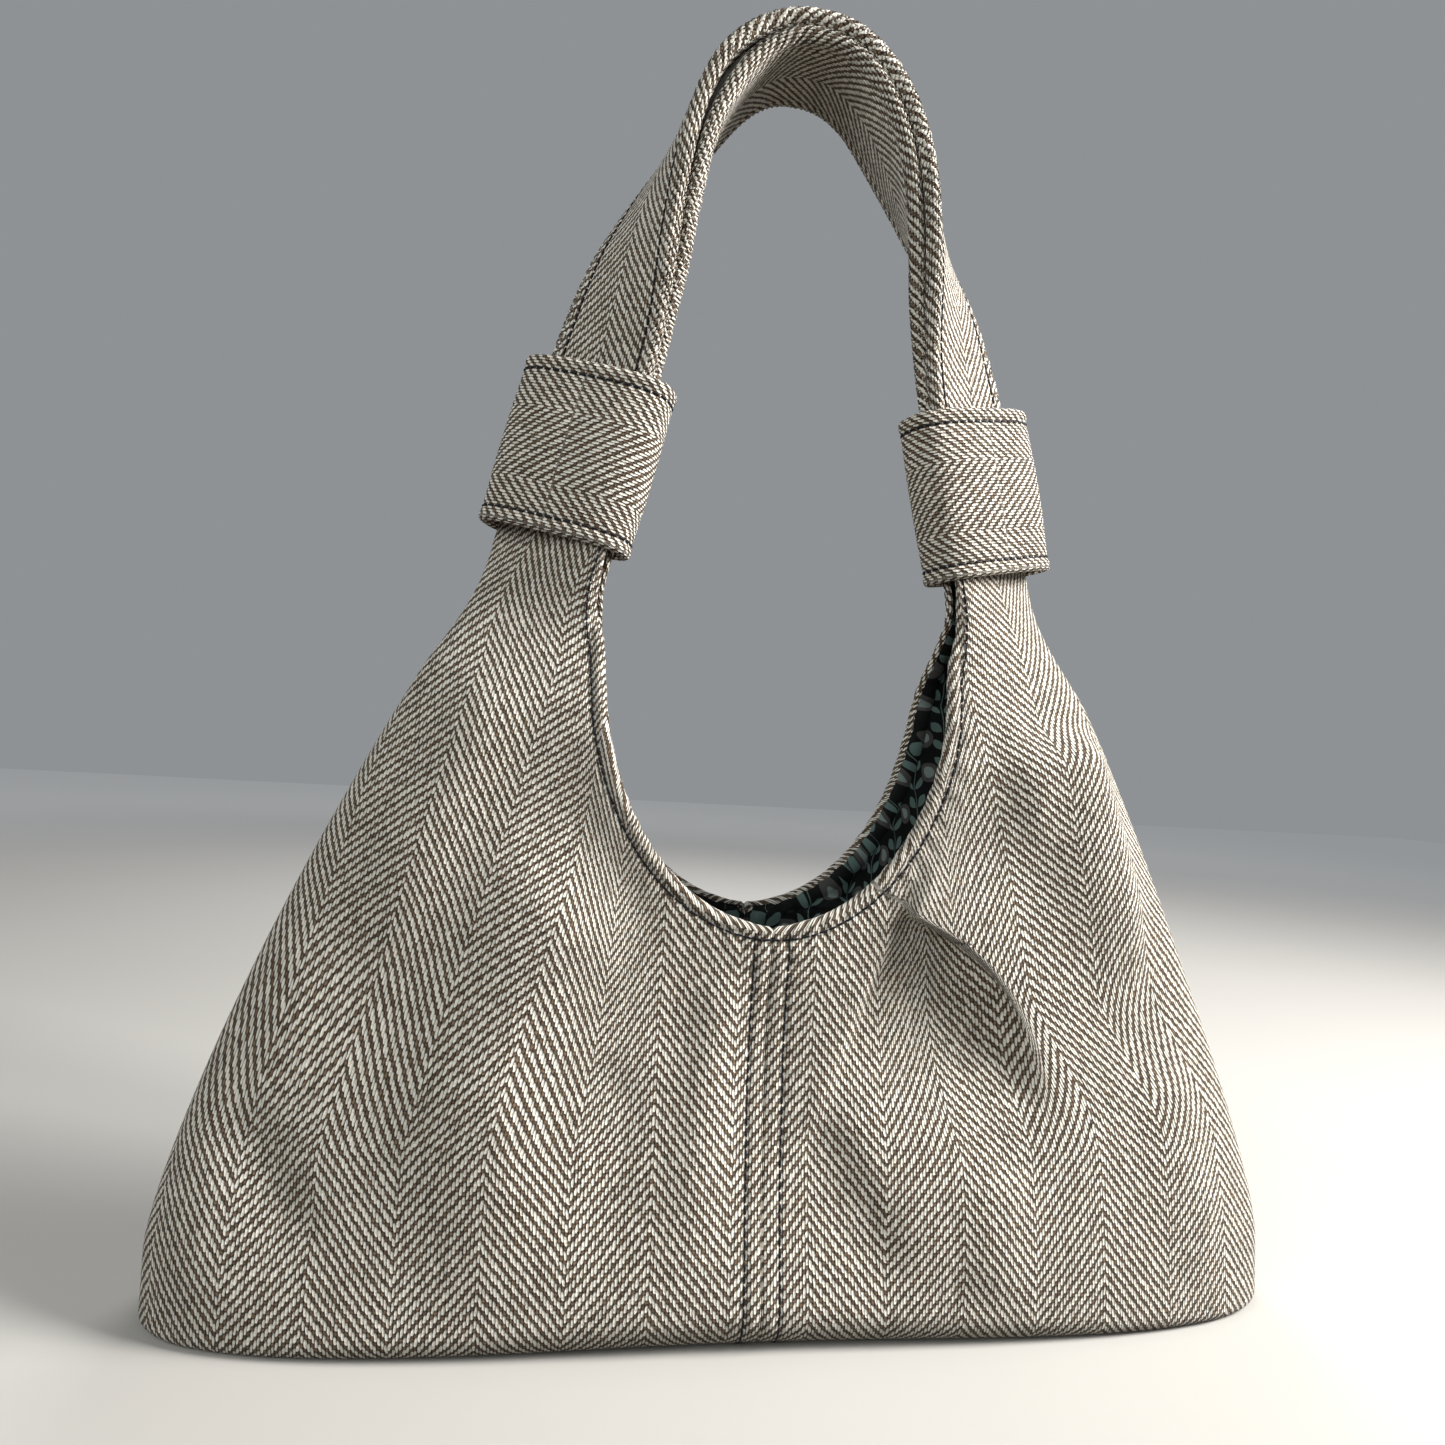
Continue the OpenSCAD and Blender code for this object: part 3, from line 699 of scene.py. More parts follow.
def shell_finish():
    """Thick herringbone: cream dashes of warp standing on taupe weft, with painted shade in the small gaps
    between them and on the weft beside the dashes.
    """
    f = Finish("herringbone_shell", 0.92, sheen=0.12)
    u, v = f.cloth_at()
    waver = parts_of(f.tree, f.noise(f.joined(u, v), 0.6, 2.0)[1], 3)
    u, v = u + (waver[0] - 0.5) * 0.6, v + (waver[1] - 0.5) * 1.1
    from_stripe = (u - STRIPE_AT) / WARP_PITCH
    column = from_stripe.floor()
    across = from_stripe.fract() - 0.5
    sway = f.random(column, 3.0)
    odd_stripe = (column * (WARP_PITCH / STRIPE / 2)).fract().step_between(0.499, 0.4995)
    rise = (column + 0.5).math("PINGPONG", STRIPE / WARP_PITCH) * (WARP_PITCH * TWILL_SLOPE)
    phase = (v - rise) / TWILL_RISE + (sway[0] - 0.5) * 0.1 + odd_stripe * 0.3
    dash = phase.fract() - 0.5
    luck = f.random(column, phase.floor())
    y = dash * TWILL_RISE
    x = across * WARP_PITCH + y * (odd_stripe * 0.16 - 0.06) + (luck[0] - 0.5) * 0.14
    half_width = luck[1] * 0.12 + 0.39
    wide = x / half_width
    zigzag = from_stripe.math("PINGPONG", STRIPE / WARP_PITCH) * (WARP_PITCH * TWILL_SLOPE)
    slide = (zigzag - rise) * 0.3
    tall = (y - slide) / (luck[2] * 0.4 + 1.02)
    far = wide * wide * wide.abs() * 0.8 + tall * tall
    on_dash = far.step_between(0.72, 1.3).reversed()
    weft = ((v / (TWILL_RISE / 3)).fract() - 0.5).abs() * 2
    # Holes between the dashes: painted near black as their shade, and sunk a little in the relief
    shaded_hole = across.abs().step_between(0.2, 0.46) * (weft.step_between(0.0, 0.6) * 0.55 + 0.45)
    # Painted shade: the weft is a little darker near each line of dashes and lighter midway between them
    line = ((u - STRIPE_AT).math("PINGPONG", STRIPE) * TWILL_SLOPE - v) / TWILL_RISE - odd_stripe * 0.3
    between = (line.fract() - 0.5).abs().step_between(0.1, 0.5)
    fibre = f.noise(f.joined(u, v), 3.2, 3.0)[0]
    ground = f.mixed(shaded_hole, TAUPE, HOLE_SHADE)
    dark_pick = f.random(column, (v / (TWILL_RISE / 3)).floor(), 7.0)[0]
    # Painted shade: the weft is darker right beside each dash, as the shadow the dash throws
    clear_of_dash_shade = far.step_between(1.0, 2.6)
    ground = f.shaded(ground, (dark_pick * 0.75 + 0.6 + between * 0.2) * (clear_of_dash_shade * 0.55 + 0.45))
    cream = f.mixed(fibre.step_between(0.25, 0.75), SHADED_CREAM, CREAM)
    cream = f.shaded(cream, luck[1] * 0.16 + 0.94)
    tone = f.noise(f.joined(u * 0.02, v * 0.02), 1.0, 2.0)[0] * 0.16 + 0.92
    f.colour(f.shaded(f.mixed(on_dash, ground, cream), tone))
    crown = (wide * wide * 0.7 + tall * tall * 0.5).reversed().math("MAXIMUM", 0.0)
    height = on_dash * (crown * 0.8 + 0.5) + weft.reversed() * 0.28 + fibre * 0.22 - shaded_hole * 0.35
    f.relief(height, 0.42, 0.9)
    return f.material


LEAF, NIGHT = linear(94, 116, 112), linear(14, 16, 17)
DOT, DOT_RING = linear(126, 140, 138), linear(76, 74, 74)


def lining_finish():
    """Printed cotton: paired leaves up thin stems, with ringed dots between the stems, on near black."""
    f = Finish("printed_lining", 0.72, sheen=0.03)
    u, v = f.cloth_at()
    stem_pitch, leaf_pitch, angle = 17.0, 7.4, math.radians(48)
    side = ((u / stem_pitch).fract() - 0.5) * stem_pitch
    arm = side.abs()
    leaf_v = ((v / leaf_pitch).fract() - 0.5) * leaf_pitch
    from_middle = arm - 3.0
    p = from_middle * math.cos(angle) + leaf_v * math.sin(angle)
    q = leaf_v * math.cos(angle) - from_middle * math.sin(angle)
    lens = q.abs() / ((p * p / 10.5).reversed().math("MAXIMUM", 0.001) * 1.6)
    leaf = lens.step_between(0.88, 1.05).reversed()
    stem = arm.step_between(0.16, 0.3).reversed()
    dot_u = ((u / stem_pitch + 0.5).fract() - 0.5) * stem_pitch
    dot_v = ((v / (leaf_pitch * 2)).fract() - 0.5) * (leaf_pitch * 2)
    away = (dot_u * dot_u + dot_v * dot_v).math("SQRT")
    ring = away.step_between(4.1, 4.3).reversed()
    disc = away.step_between(2.3, 2.5).reversed()
    clear = away.step_between(4.4, 4.6)
    colour = f.mixed(leaf.math("MAXIMUM", stem) * clear, NIGHT, LEAF)
    colour = f.mixed(ring, colour, DOT_RING)
    colour = f.mixed(disc, colour, DOT)
    uneven = f.noise(f.joined(u, v), 0.9, 3.0)[0] * 0.3 + 0.85
    f.colour(f.shaded(colour, uneven))
    plain_weave = (u / 0.35).math("SINE") * (v / 0.35).math("SINE")
    f.relief(plain_weave, 0.06, 0.5)
    return f.material


def thread_finish():
    """Dark thread with fine specks."""
    f = Finish("dark_thread", 0.5, sheen=0.1)
    speck = f.noise(f.object_at(), 2600.0, 1.0)[0]
    f.colour(f.mixed(speck, linear(12, 12, 18), linear(34, 34, 44)))
    f.relief(speck, 0.1, 0.6)
    return f.material


def felt_finish():
    """Matted white fibres of the interlining and of the strap's wadding."""
    f = Finish("felted_fibres", 0.95, sheen=0.3)
    mat = f.noise(f.object_at(), 420.0, 6.0)[0]
    f.colour(f.mixed(mat.step_between(0.3, 0.7), linear(206, 204, 196), linear(240, 239, 233)))
    f.relief(mat, 0.4, 0.8)
    return f.material


def seen_by_camera(tree):
    return Number(tree, new_node(tree, "LightPath", {}).outputs["Is Camera Ray"])


SKY = (0.78, 0.82, 0.86, 1.0)


def floor_finish():
    """Plain and pale to the camera, and darker to the light that it throws back up at the bag.

    Far off it glows with the backdrop's colour to the camera only, a painted light that keeps its brightness,
    so that it meets the backdrop softly.
    """
    f = Finish("pale_floor", 0.8)
    place, seen = f.object_at(), seen_by_camera(f.tree)
    pale = f.mixed(f.noise(place, 3.0, 4.0)[0], linear(196, 193, 188), linear(202, 199, 195))
    f.colour(f.mixed(seen, linear(104, 100, 94), pale))
    x, y = parts_of(f.tree, place, 2)
    far = (x * x + y * y).math("SQRT").step_between(0.5, 2.4)
    # Painted glow: far off, the floor gives out light of the backdrop's colour, seen by the camera only
    f.shader.inputs["Emission Color"].default_value = SKY
    f.tree.links.new((far * seen * 0.28).socket, f.shader.inputs["Emission Strength"])
    return f.material


SHELL, LINING, THREAD, FELT = shell_finish(), lining_finish(), thread_finish(), felt_finish()


def dress(piece, material, slot, body, *nodes):
    """Gives a piece its material, its body and the nodes it stands for; the slot is not used.

    With no body, a piece has its place baked into its mesh.
    """
    piece.data.materials.append(material)
    if body is None:
        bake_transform(piece)
    else:
        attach(piece, body)
    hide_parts(*nodes)


def sew(name, node, body, lines, length=STITCH, lift=STITCH_LIFT):
    """A piece of separate stitches along lines on the cloth, each with its ends drawn down into it.

    A line is its points and the ways out of the cloth there.
    """
    vertices, faces = [], []
    turn = np.linspace(0, 2 * math.pi, STITCH_SIDES, endpoint=False)[:, None]
    rise = np.sin(np.linspace(0, math.pi, STITCH_RINGS))
    size = STITCH_RADIUS * (0.6 + 0.4 * np.sqrt(rise))
    for path, ups in lines:
        walked = walked_along(path)
        count = max(1, int((walked[-1] + STITCH_GAP) / (length + STITCH_GAP)))
        pitch = walked[-1] / count
        for k in range(count):
            s = k * pitch + np.linspace(0, pitch - STITCH_GAP, STITCH_RINGS)
            at, up = (np.stack([np.interp(s, walked, c) for c in grid.T], axis=-1) for grid in (path, ups))
            up = unit(up)
            side = unit(np.cross(unit(np.gradient(at, axis=0)), up))
            at = at + up * ((lift + 0.2) * rise**0.35 - 0.2)[:, None]
            faces += tube_faces(STITCH_RINGS, STITCH_SIDES, len(vertices))
            for r in range(STITCH_RINGS):
                vertices.extend(at[r] + size[r] * (np.cos(turn) * side[r] + np.sin(turn) * up[r]))
    dress(make_object(name, vertices, faces), THREAD, "thread", body, node)


# ---- the body's pieces ----

QUARTERS = {
    "front_left": Quarter(-1, -1),
    "front_right": Quarter(1, -1),
    "back_left": Quarter(-1, 1),
    "back_right": Quarter(1, 1),
}
NECK_START_ROW = BASE_ROWS + ROLL_ROWS + WALL_ROWS + MOUTH_ROWS
RAY_START, RAY_LENGTH = 40.0, 60.0      # how far outside the cloth a ray starts, and how far it looks
RIM_POINTS, SEAM_POINTS = 240, 112      # of the guide lines of the topstitching


def shell_panel(name, q):
    points, normals, u, v, thick = q.rolled()
    inner = points - normals * thick[..., None]
    piece = closed_sheet(name + "_shell", points * q.signs, inner * q.signs, u, v, q.flip)
    dress(piece, SHELL, "shell_cloth", None, name + "_panel", name.split("_")[1] + "_neck")


def drawn_back(grid, first):
    """A grid whose rows start at their own column numbers, whole or not, and end as before."""
    last = grid.shape[1] - 1
    at = first[:, None] + np.arange(last + 1) * (1 - first[:, None] / last)
    low = np.minimum(at.astype(int), last - 1)
    share = (at - low).reshape(at.shape + (1,) * (grid.ndim - 2))
    rows = np.arange(len(grid))[:, None]
    return mix(grid[rows, low], grid[rows, low + 1], share)


def inside_sheet(q, low, high, rows, step):
    """A sheet of cloth at depths inside the shell, with its edges drawn in to meet at the seams."""
    keep = slice(0, rows, step)
    below_rim = LINING_MARGIN * smooth((q.z[keep, 0] - MOUTH_LOW + 6) / 3)
    grids = (q.points, q.normals, q.u, q.v)
    p, n, u, v = (drawn_back(grid[keep], below_rim)[:, ::step] for grid in grids)
    squeeze = q.squeeze[keep][..., None]
    outer, inner = p - n * low * squeeze, p - n * high * squeeze
    in_neck = np.arange(len(q.points))[keep] >= NECK_START_ROW
    for sheet in (outer, inner):
        middle, side = sheet[:, 0, 0], sheet[:, -1, 1]
        sheet[:, 0, 0] = np.where(middle < SEAM_RADIUS + 1, SEAM_GAP, middle)
        sheet[:, -1, 1] = np.where(in_neck, side - SEAM_RADIUS + SEAM_GAP, SEAM_GAP)
    return outer * q.signs, inner * q.signs, u, v


def lining_panel(name, q):
    outer, inner, u, v = inside_sheet(q, LINING_FROM, LINING_TO, len(q.points), 1)
    piece = closed_sheet(name + "_lining_sheet", outer, inner, u, v, q.flip)
    dress(piece, LINING, "lining_cloth", None, name + "_lining")


def interlining_panel(name, q):
    outer, inner, u, v = inside_sheet(q, INTERLINING_FROM, INTERLINING_TO, NECK_START_ROW, 2)
    piece = closed_sheet(name + "_interlining_sheet", outer, inner, u, v, q.flip)
    dress(piece, FELT, "interlining", "bag", name + "_interlining")


def surface_tree(names, pick):
    """A search tree over faces of the named quarters, each turned into a grid of points by pick."""
    vertices, faces = [], []
    for name in names:
        grid = pick(QUARTERS[name])
        rows, columns = grid.shape[:2]
        faces.extend(grid_faces(rows, columns, len(vertices), QUARTERS[name].flip).tolist())
        vertices.extend(grid.reshape(-1, 3).tolist())
    return BVHTree.FromPolygons(vertices, faces)


def laid_on(tree, guide, ways):
    """A line on a surface, straight in from a guide or nearest to it, and the ways out of the surface."""
    path, ups = [], []
    for p, way in zip(guide, ways):
        start = Vector(np.array(p) + RAY_START * np.array(way))
        place, normal, _, _ = tree.ray_cast(start, -Vector(way), RAY_LENGTH)
        if place is None:
            place, normal, _, _ = tree.find_nearest(Vector(p))
        path.append(place)
        ups.append(normal)
    return np.array(path), np.array(ups)


def face_tree(side):
    return surface_tree([side + "_left", side + "_right"], lambda q: q.points * q.signs)


def outward(ups, y_sign):
    """Ways out of the cloth, turned where needed so that they point away from the bag's middle."""
    wrong = ups[:, 1] * y_sign < np.where(ups[:, 2] < -0.5, -9.0, 0.0)
    return np.where(wrong[:, None], -ups, ups)


def neck_stitch_line(q):
    """Points one margin in from the rim, up a neck to its cuff, and the ways out of the cloth there."""
    path, ups = [], []
    for row in range(NECK_START_ROW, NECK_START_ROW + NECK_ROWS + 3):
        walked = walked_along(q.points[row])
        margin = (EDGE_MARGIN - RIM_RADIUS) * q.squeeze[row, 0] ** 0.5
        for line, grid in ((path, q.points[row]), (ups, q.normals[row])):
            line.append([np.interp(margin, walked, c) for c in grid.T] * q.signs)
    return np.array(path), unit(np.array(ups))


def rim_stitches(side, y_sign):
    half, rise = MOUTH_HALF_WIDTH + EDGE_MARGIN, MOUTH_FULL - MOUTH_LOW + EDGE_MARGIN
    last = math.acos((MOUTH_FULL - NECK_LOW + 1) / rise)
    middle = []
    for angle in np.linspace(-last, last, RIM_POINTS):
        x, z = half * math.sin(angle), MOUTH_FULL - rise * math.cos(angle)
        middle.append((x, y_sign * (float(middle_y(z)) - 1.5), z))
    path, ups = laid_on(face_tree(side), middle, [(0, y_sign, 0)] * len(middle))
    left, left_ups = neck_stitch_line(QUARTERS[side + "_left"])
    right, right_ups = neck_stitch_line(QUARTERS[side + "_right"])
    path = np.concatenate([left[::-1], path, right])
    ups = np.concatenate([left_ups[::-1], outward(ups, y_sign), right_ups])
    sew(side + "_rim_stitches", side + "_rim_stitching", None, [(path, ups)])


def seam_stitches(side, y_sign):
    """The two lines beside the centre seam, from the mouth round the bottom edge and under the base."""
    tree = face_tree(side)
    lines = []
    for x in (-SEAM_HALF, SEAM_HALF):
        guide, ways = [], []
        for z in np.linspace(MOUTH_LOW - RIM_RADIUS - 0.4, ROLL_RADIUS, SEAM_POINTS):
            guide.append((x, y_sign * float(middle_y(z)), z))
            ways.append((0, y_sign, 0))
        for angle in np.linspace(math.pi / 2, 0, 16)[1:]:
            y = float(middle_y(ROLL_RADIUS)) - ROLL_RADIUS * (1 - math.sin(angle))
            guide.append((x, y_sign * y, ROLL_RADIUS * (1 - math.cos(angle))))
            ways.append((0, y_sign * math.sin(angle), -math.cos(angle)))
        for y in np.linspace(float(middle_y(0.0)) - ROLL_RADIUS, 3, 12)[1:]:
            guide.append((x, y_sign * y, 0.0))
            ways.append((0, 0, -1))
        path, ups = laid_on(tree, guide, ways)
        lines.append((path, outward(ups, y_sign)))
    sew(side + "_seam_stitches", side + "_seam_stitching", "bag", lines, lift=0.2)


def slip_pocket():
    """A flat pocket with a doubled top hem on the inside of the back lining. Returns its inner face."""
    tree = surface_tree(["back_left", "back_right"], lambda q: (q.points - q.normals * LINING_TO) * q.signs)
    face, inner = np.zeros((2, POCKET_ROWS, POCKET_COLUMNS, 3))
    for j, z in enumerate(np.linspace(POCKET_LOW, POCKET_HIGH, POCKET_ROWS)):
        hem = 0.5 * smooth((z - POCKET_HIGH + 16) / 1.5)
        for i, x in enumerate(np.linspace(-POCKET_WIDTH / 2, POCKET_WIDTH / 2, POCKET_COLUMNS)):
            place, _, _, _ = tree.find_nearest(Vector((x, float(middle_y(z)) - LINING_TO, z)))
            slack = 1.6 * smooth((z - 70) / 38) * math.cos(math.pi * x / POCKET_WIDTH)
            y = place.y - POCKET_GAP - slack
            face[j, i] = (x, y, z)
            inner[j, i] = (x, y - POCKET_CLOTH - hem, z)
    piece = closed_sheet("slip_pocket_cloth", face, inner, face[..., 0] + 4, face[..., 2])
    dress(piece, LINING, "lining_cloth", "bag", "slip_pocket")
    return inner


def pocket_stitches(face):
    """One line down a side of the pocket, along its bottom and up the other side."""
    side = 2
    path = np.concatenate([face[:side:-1, side], face[side, side:-side], face[side:, -1 - side]])
    ups = np.tile([0.0, -1.0, 0.0], (len(path), 1))
    sew("pocket_stitches", "pocket_stitching", "bag", [(path, ups)], length=2.6)


# ---- strap ----

STRAP_HIDDEN, HIDDEN_STEPS = 46.0, 14       # length of the strap inside each cuff, and its sections
STRAP_STEP = 0.85
FACE_POINTS, EDGE_POINTS = 39, 13           # across a layer's face, and round each turned edge
HEM_WIDTH, HEM_DEPTH = 6.8, 2.6
HALF_ROUND, ROUND = 62.0, 110.0             # lengths of cloth round a layer's section
WADDING_MARGIN, WADDING_DEPTH = 7.4, 3.1    # from the strap's edges and faces to the wadding
WADDING_STEP = 4                            # it has one section for each 4 of the layers'


def strap_line():
    """The strap's frames and thickness at even steps, the length walked to each, and its share of the span.

    The frames are its centres, width directions and outward directions.
    """
    dense = np.linspace(-1, 1, 6001)
    z = STRAP_TOP - LOOP_RISE * np.abs(dense) ** LOOP_POWER
    walked = walked_along(np.stack([STRAP_HALF_SPAN * dense, z], axis=-1))
    count = int(walked[-1] / STRAP_STEP)
    lengths = np.linspace(0, walked[-1], count)
    share = np.interp(lengths, walked, dense)
    share[np.abs(share) < 1e-6] = 1e-6
    hidden, ends = np.linspace(STRAP_HIDDEN, 2, HIDDEN_STEPS), np.ones(HIDDEN_STEPS)
    below = np.concatenate([hidden, np.zeros(count), hidden[::-1]])
    share = np.concatenate([-ends, share, ends])
    climbed = LOOP_RISE * (1 - np.abs(share) ** LOOP_POWER)
    turn = mix(GRIP_TURN, 90.0, smooth(climbed / LOOP_RISE / 0.9))
    thick = mix(GRIP_THICKNESS, LOOP_THICKNESS, smooth((climbed - 14) / 34))
    along = np.concatenate([-hidden, lengths, walked[-1] + hidden[::-1]])
    return strap_place(share, below, turn), thick, along, share


def off_strap(frames, across, out):
    """Points at distances across and outward from the strap's centre line."""
    centre, wide, outward_way = (grid[:, None] for grid in frames)
    return centre + wide * across[..., None] + outward_way * out[..., None]


def layer_outline(thickness):
    """Section of the outer layer, as points across and outward, for every thickness at once."""
    w, h = STRAP_WIDTH / 2, thickness[:, None] / 2
    low = 0.12
    e = (h - low) / 2
    face_a = np.linspace(-1, 1, FACE_POINTS)[None, :] * (w - e)
    groove = bump_at(np.abs(face_a) - (w - EDGE_MARGIN), 1.1)
    top = h + 0.25 * (1 - (face_a / w) ** 2) - 0.5 * groove
    turn = np.linspace(math.pi / 2, -math.pi / 2, EDGE_POINTS)[None, 1:-1]
    edge_a, edge_o = w - e + e * np.cos(turn), low + e + e * np.sin(turn)
    one = np.ones_like(h)
    hem, floor = (w - HEM_WIDTH) * one, h - HEM_DEPTH
    inside_a = [w - e, hem, hem, 0 * one, -hem, -hem, e - w]
    inside_o = [low * one, low * one, floor, floor, floor, low * one, low * one]
    a = np.concatenate([face_a, edge_a, *inside_a, -edge_a[:, ::-1]], axis=1)
    o = np.concatenate([top, edge_o, *inside_o, edge_o[:, ::-1]], axis=1)
    return a, o


def strap_layer(name, node, side):
    frames, thick, along, share = strap_line()
    a, o = layer_outline(thick)
    rows, columns = a.shape
    steps = np.hypot(np.diff(a, axis=1), np.diff(o, axis=1))
    u = np.concatenate([np.zeros((rows, 1)), np.cumsum(steps, axis=1)], axis=1)
    u = u - u[:, FACE_POINTS // 2][:, None]
    u = np.where(u > HALF_ROUND, u - ROUND, u)
    v = np.repeat(along[:, None], columns, axis=1)
    edge = smooth((np.abs(a) - (STRAP_WIDTH / 2 - 4.5)) / 3)
    nub = np.sin(2 * math.pi * (v / TWILL_RISE * 1.5 + u / (2 * WARP_PITCH)))
    swell = 1 + edge * 0.035 * nub
    gape = 1.5 * bump_at(share + 0.42, 0.16)[:, None] * smooth(a / 14) * (1 if side > 0 else 0.4)
    rise = side * (o + gape + edge * 0.25 * nub * (o > 1))
    points = off_strap(frames, a * swell, rise)
    if side > 0:
        points, u, v = points[:, ::-1], u[:, ::-1] + STRIPE, v[:, ::-1]
    piece = swept_tube(name, points, STRIPE_AT + u, v)
    dress(piece, SHELL, "shell_cloth", "handle", node)


def strap_wadding():
    frames, thick, _, _ = strap_line()
    frames, thick = [grid[::WADDING_STEP] for grid in frames], thick[::WADDING_STEP]
    turn = np.linspace(0, 2 * math.pi, 28, endpoint=False)
    c, s = np.cos(turn), np.sin(turn)
    a = (STRAP_WIDTH / 2 - WADDING_MARGIN) * np.sign(c) * np.abs(c) ** 0.35
    o = (thick[:, None] / 2 - WADDING_DEPTH) * (np.sign(s) * np.abs(s) ** 0.5)[None, :]
    points = off_strap(frames, a[None, :], o)
    zeros = np.zeros(points.shape[:2])
    piece = swept_tube("strap_wadding", points, zeros, zeros)
    dress(piece, FELT, "interlining", "handle", "strap_core")


def strap_stitches(name, node, edge):
    frames, thick, _, share = strap_line()
    seen = np.abs(share) < 0.9999
    a = edge * (STRAP_WIDTH / 2 - EDGE_MARGIN)
    o = thick / 2 - 0.5 + 0.25 * (1 - (a / (STRAP_WIDTH / 2)) ** 2)
    path = off_strap(frames, np.array([[a]]), o[:, None])[seen, 0]
    sew(name, node, "handle", [(path, frames[2][seen])])


# ---- cuffs ----


def cuff_frame(x_sign):
    """Origin and axes of a cuff: across its face, through its depth, and up the strap."""
    lean = x_sign * TILT
    up = np.array([-math.sin(lean), 0, math.cos(lean)])
    level = np.array([math.cos(lean), 0, math.sin(lean)])
    through = np.array([0.0, 1.0, 0.0])
    turn = math.radians(x_sign * CUFF_TURN)
    across = level * math.cos(turn) + through * math.sin(turn)
    depth = through * math.cos(turn) - level * math.sin(turn)
    foot = np.array([x_sign * (STRAP_HALF_SPAN + CUFF_LENGTH * math.sin(TILT)), 0, CUFF_FOOT_Z])
    return foot, across, depth, up


def cuff_ring(count):
    """Points and outward ways evenly round a cuff's outer face, and the length walked to each."""
    angle = np.linspace(0, 2 * math.pi, 2001) - math.pi / 2
    way = np.stack([np.cos(angle), np.sin(angle)], axis=-1)
    half = np.array([CUFF_WIDTH / 2, CUFF_DEPTH / 2])
    dense = half * np.sign(way) * np.abs(way) ** (2 / CUFF_POWER)
    walked = walked_along(dense)
    lengths = np.linspace(0, walked[-1], count, endpoint=False)
    points = np.stack([np.interp(lengths, walked, c) for c in dense.T], axis=-1)
    way = unit(np.roll(points, -1, axis=0) - np.roll(points, 1, axis=0))
    return points, np.stack([way[:, 1], -way[:, 0]], axis=-1), lengths


def cuff_face(height):
    """How far the outer face stands out at a height: puffed ends, and a groove at each stitched line."""
    end = np.minimum(height, CUFF_LENGTH - height)
    puffed = 0.25 * bump_at(end - 2.4, 2.0) + 0.5 * smooth((end - 7) / 18)
    return puffed - 0.55 * bump_at(end - EDGE_MARGIN, 1.1)


def cuff_cloth(side, x_sign):
    foot, across, depth, up = cuff_frame(x_sign)
    ring, ways, walked = cuff_ring(240)
    fold = CUFF_WALL / 2
    heights = np.linspace(fold, CUFF_LENGTH - fold, 64)
    turn = np.linspace(0, math.pi, 9)[1:-1]
    out = np.concatenate([
        cuff_face(heights) - 0.2,
        -fold + fold * np.cos(turn),
        np.full(24, -CUFF_WALL),
        -fold - fold * np.cos(turn),
    ])
    high = np.concatenate([
        heights,
        CUFF_LENGTH - fold + fold * np.sin(turn),
        np.linspace(CUFF_LENGTH - fold, fold, 24),
        fold - fold * np.sin(turn),
    ])
    lengths = walked_along(np.stack([out, high], axis=-1)) + fold
    wave = 0.35 * np.sin(walked / 9.5)[:, None] * bump_at(high - CUFF_LENGTH / 2, 22)[None, :]
    offset = out[None, :] + wave * (out > -fold)[None, :]
    flat = ring[:, None] + ways[:, None] * offset[..., None]
    points = foot + across * flat[..., :1] + depth * flat[..., 1:] + up * high[None, :, None]
    u = np.repeat((lengths - 17 + STRIPE_AT)[None, :], len(ring), axis=0)
    v = np.repeat(walked[:, None], len(high), axis=1)
    piece = ring_tube(side + "_cuff_cloth", points[:, ::-1], u[:, ::-1], v[:, ::-1])
    dress(piece, SHELL, "shell_cloth", side + "_cuff", side + "_cuff")


def cuff_stitches(side, x_sign):
    foot, across, depth, up = cuff_frame(x_sign)
    ring, ways = (np.vstack([grid, grid[:1]]) for grid in cuff_ring(200)[:2])
    ups = across * ways[:, :1] + depth * ways[:, 1:]
    lines = []
    for height in (EDGE_MARGIN, CUFF_LENGTH - EDGE_MARGIN):
        flat = ring + ways * (float(cuff_face(height)) - 0.2)
        lines.append((foot + across * flat[:, :1] + depth * flat[:, 1:] + up * height, ups))
    sew(side + "_cuff_stitches", side + "_cuff_stitching", side + "_cuff", lines)


def build_bag():
    for name, quarter in QUARTERS.items():
        shell_panel(name, quarter)
        interlining_panel(name, quarter)
        lining_panel(name, quarter)
    for side, y_sign in (("front", -1), ("back", 1)):
        rim_stitches(side, y_sign)
        seam_stitches(side, y_sign)
    pocket_stitches(slip_pocket())
    strap_layer("strap_outer_cloth", "strap_outer_layer", 1)
    strap_layer("strap_inner_cloth", "strap_inner_layer", -1)
    strap_wadding()
    strap_stitches("strap_front_stitches", "strap_front_stitching", 1)
    strap_stitches("strap_back_stitches", "strap_back_stitching", -1)
    for side, x_sign in (("left", -1), ("right", 1)):
        cuff_cloth(side, x_sign)
        cuff_stitches(side, x_sign)


# ---- floor, light and camera ----


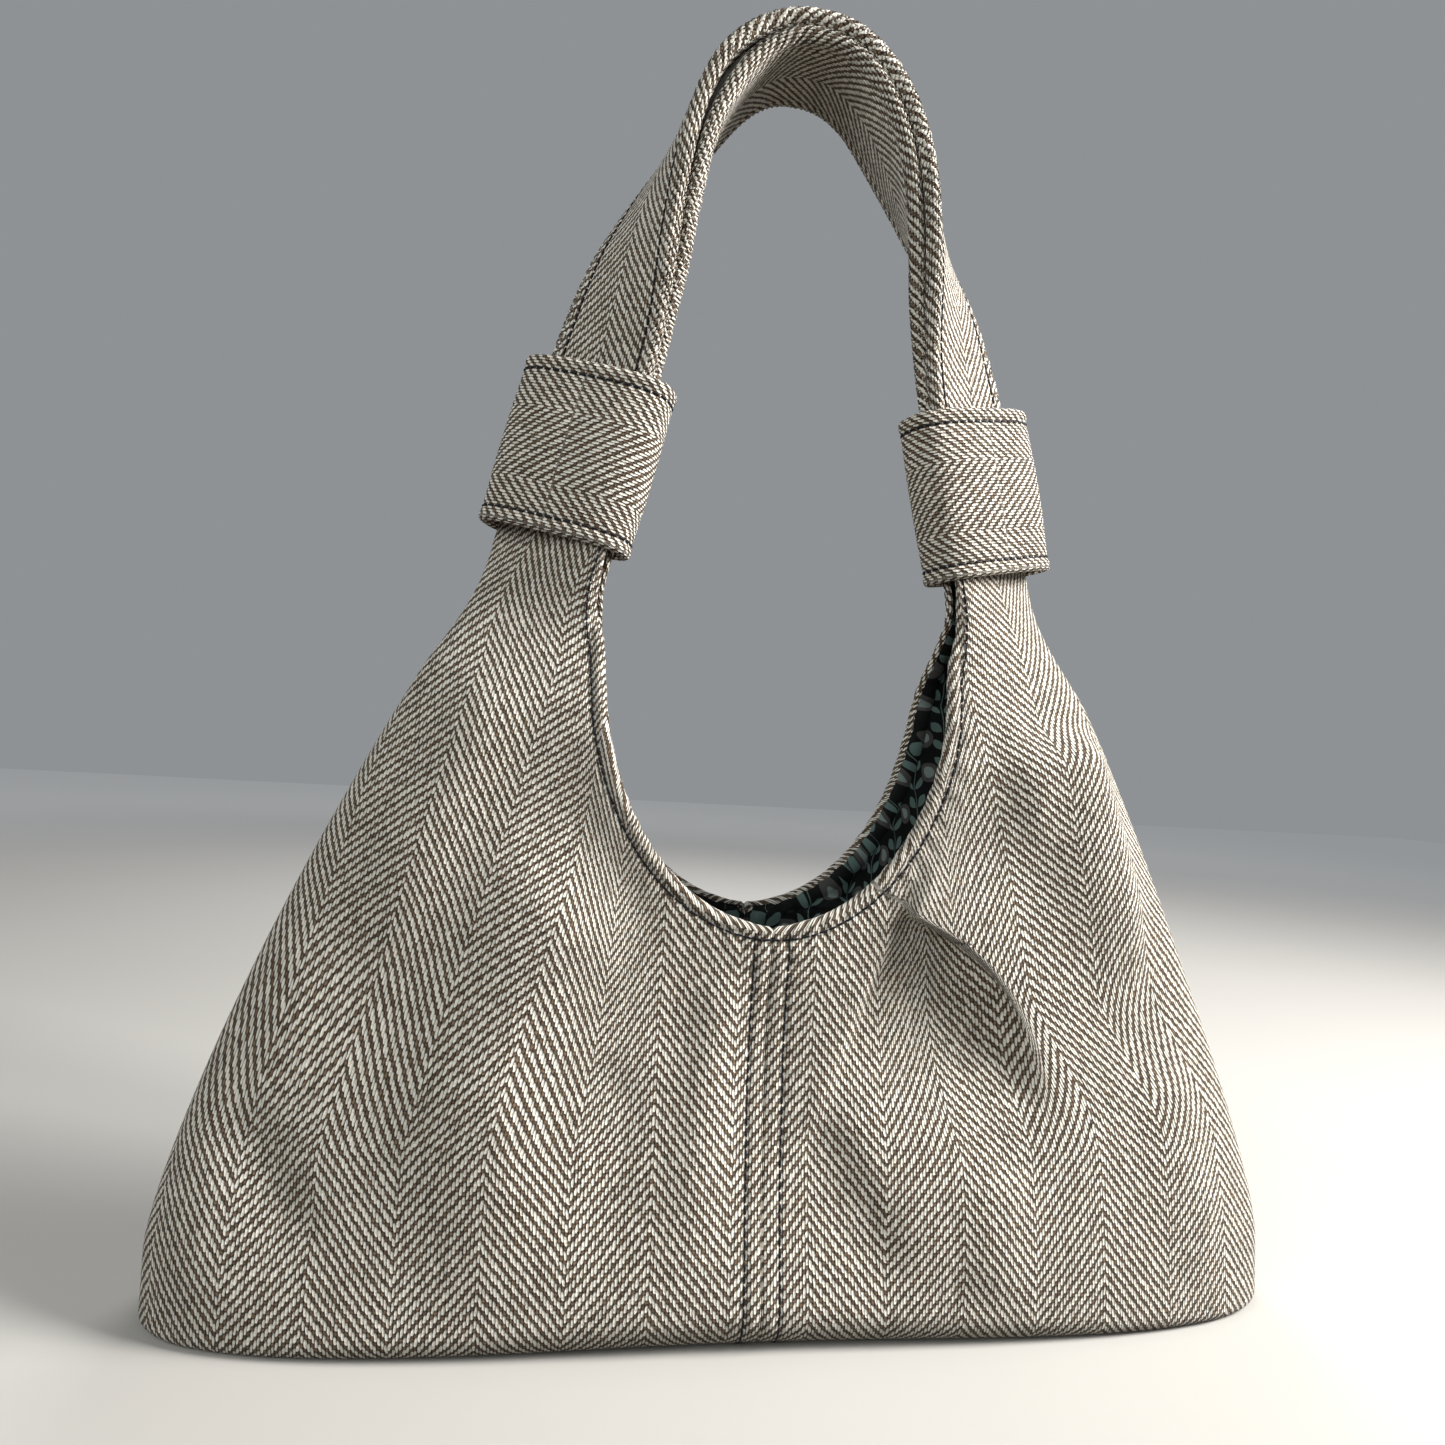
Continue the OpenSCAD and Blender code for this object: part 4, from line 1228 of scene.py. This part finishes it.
def floor():
    size = 3000.0
    corners = [(-size, -size, 0), (size, -size, 0), (size, size, 0), (-size, size, 0)]
    ground = make_object("pale_floor", corners, [(0, 1, 2, 3)])
    ground.data.materials.append(floor_finish())


def soft_light(name, place, size, power, colour):
    """An area light, placed in millimetres and aimed at the middle of the bag."""
    data = bpy.data.lights.new(name, "AREA")
    data.size, data.energy, data.color = size * MM, power, colour
    lamp = bpy.data.objects.new(name, data)
    lamp.location = Vector(place) * MM
    middle = Vector((0, 0, 200)) * MM
    lamp.rotation_euler = (middle - lamp.location).to_track_quat("-Z", "Y").to_euler()
    bpy.context.scene.collection.objects.link(lamp)


def light():
    soft_light("key", (980, -340, 820), 480, 31.0, (1.0, 0.985, 0.955))
    soft_light("left_fill", (-760, -760, 760), 800, 7.2, (0.97, 1.0, 0.97))
    soft_light("back_rim", (150, 1000, 900), 700, 6.0, (1.0, 1.0, 1.0))
    world = bpy.data.worlds.new("studio")
    world.use_nodes = True
    tree = world.node_tree
    background = tree.nodes["Background"]
    background.inputs["Color"].default_value = SKY
    tree.links.new((seen_by_camera(tree) * 0.2 + 0.15).socket, background.inputs["Strength"])
    bpy.context.scene.world = world


def camera():
    azimuth, elevation, roll = math.radians(-9.2), math.radians(-1.2), math.radians(3.4)
    target, distance = np.array([-17.0, 0.0, 203.8]), 380.0
    back = np.array([
        math.sin(azimuth) * math.cos(elevation),
        -math.cos(azimuth) * math.cos(elevation),
        math.sin(elevation),
    ])
    level = np.array([math.cos(azimuth), math.sin(azimuth), 0])
    upright = np.cross(back, level)
    right = math.cos(roll) * level + math.sin(roll) * upright
    up = math.cos(roll) * upright - math.sin(roll) * level
    data = bpy.data.cameras.new("camera")
    data.sensor_width, data.lens = 36.0, 26.03
    data.clip_start, data.clip_end = 0.01, 20.0
    place = np.eye(4)
    place[:3] = np.stack([right, up, back, (target + back * distance) * MM], axis=1)
    view = bpy.data.objects.new("camera", data)
    view.matrix_world = Matrix(place.tolist())
    bpy.context.scene.collection.objects.link(view)
    bpy.context.scene.camera = view


build_bag()
floor()
light()
camera()
bpy.context.scene.view_settings.view_transform = "Standard"
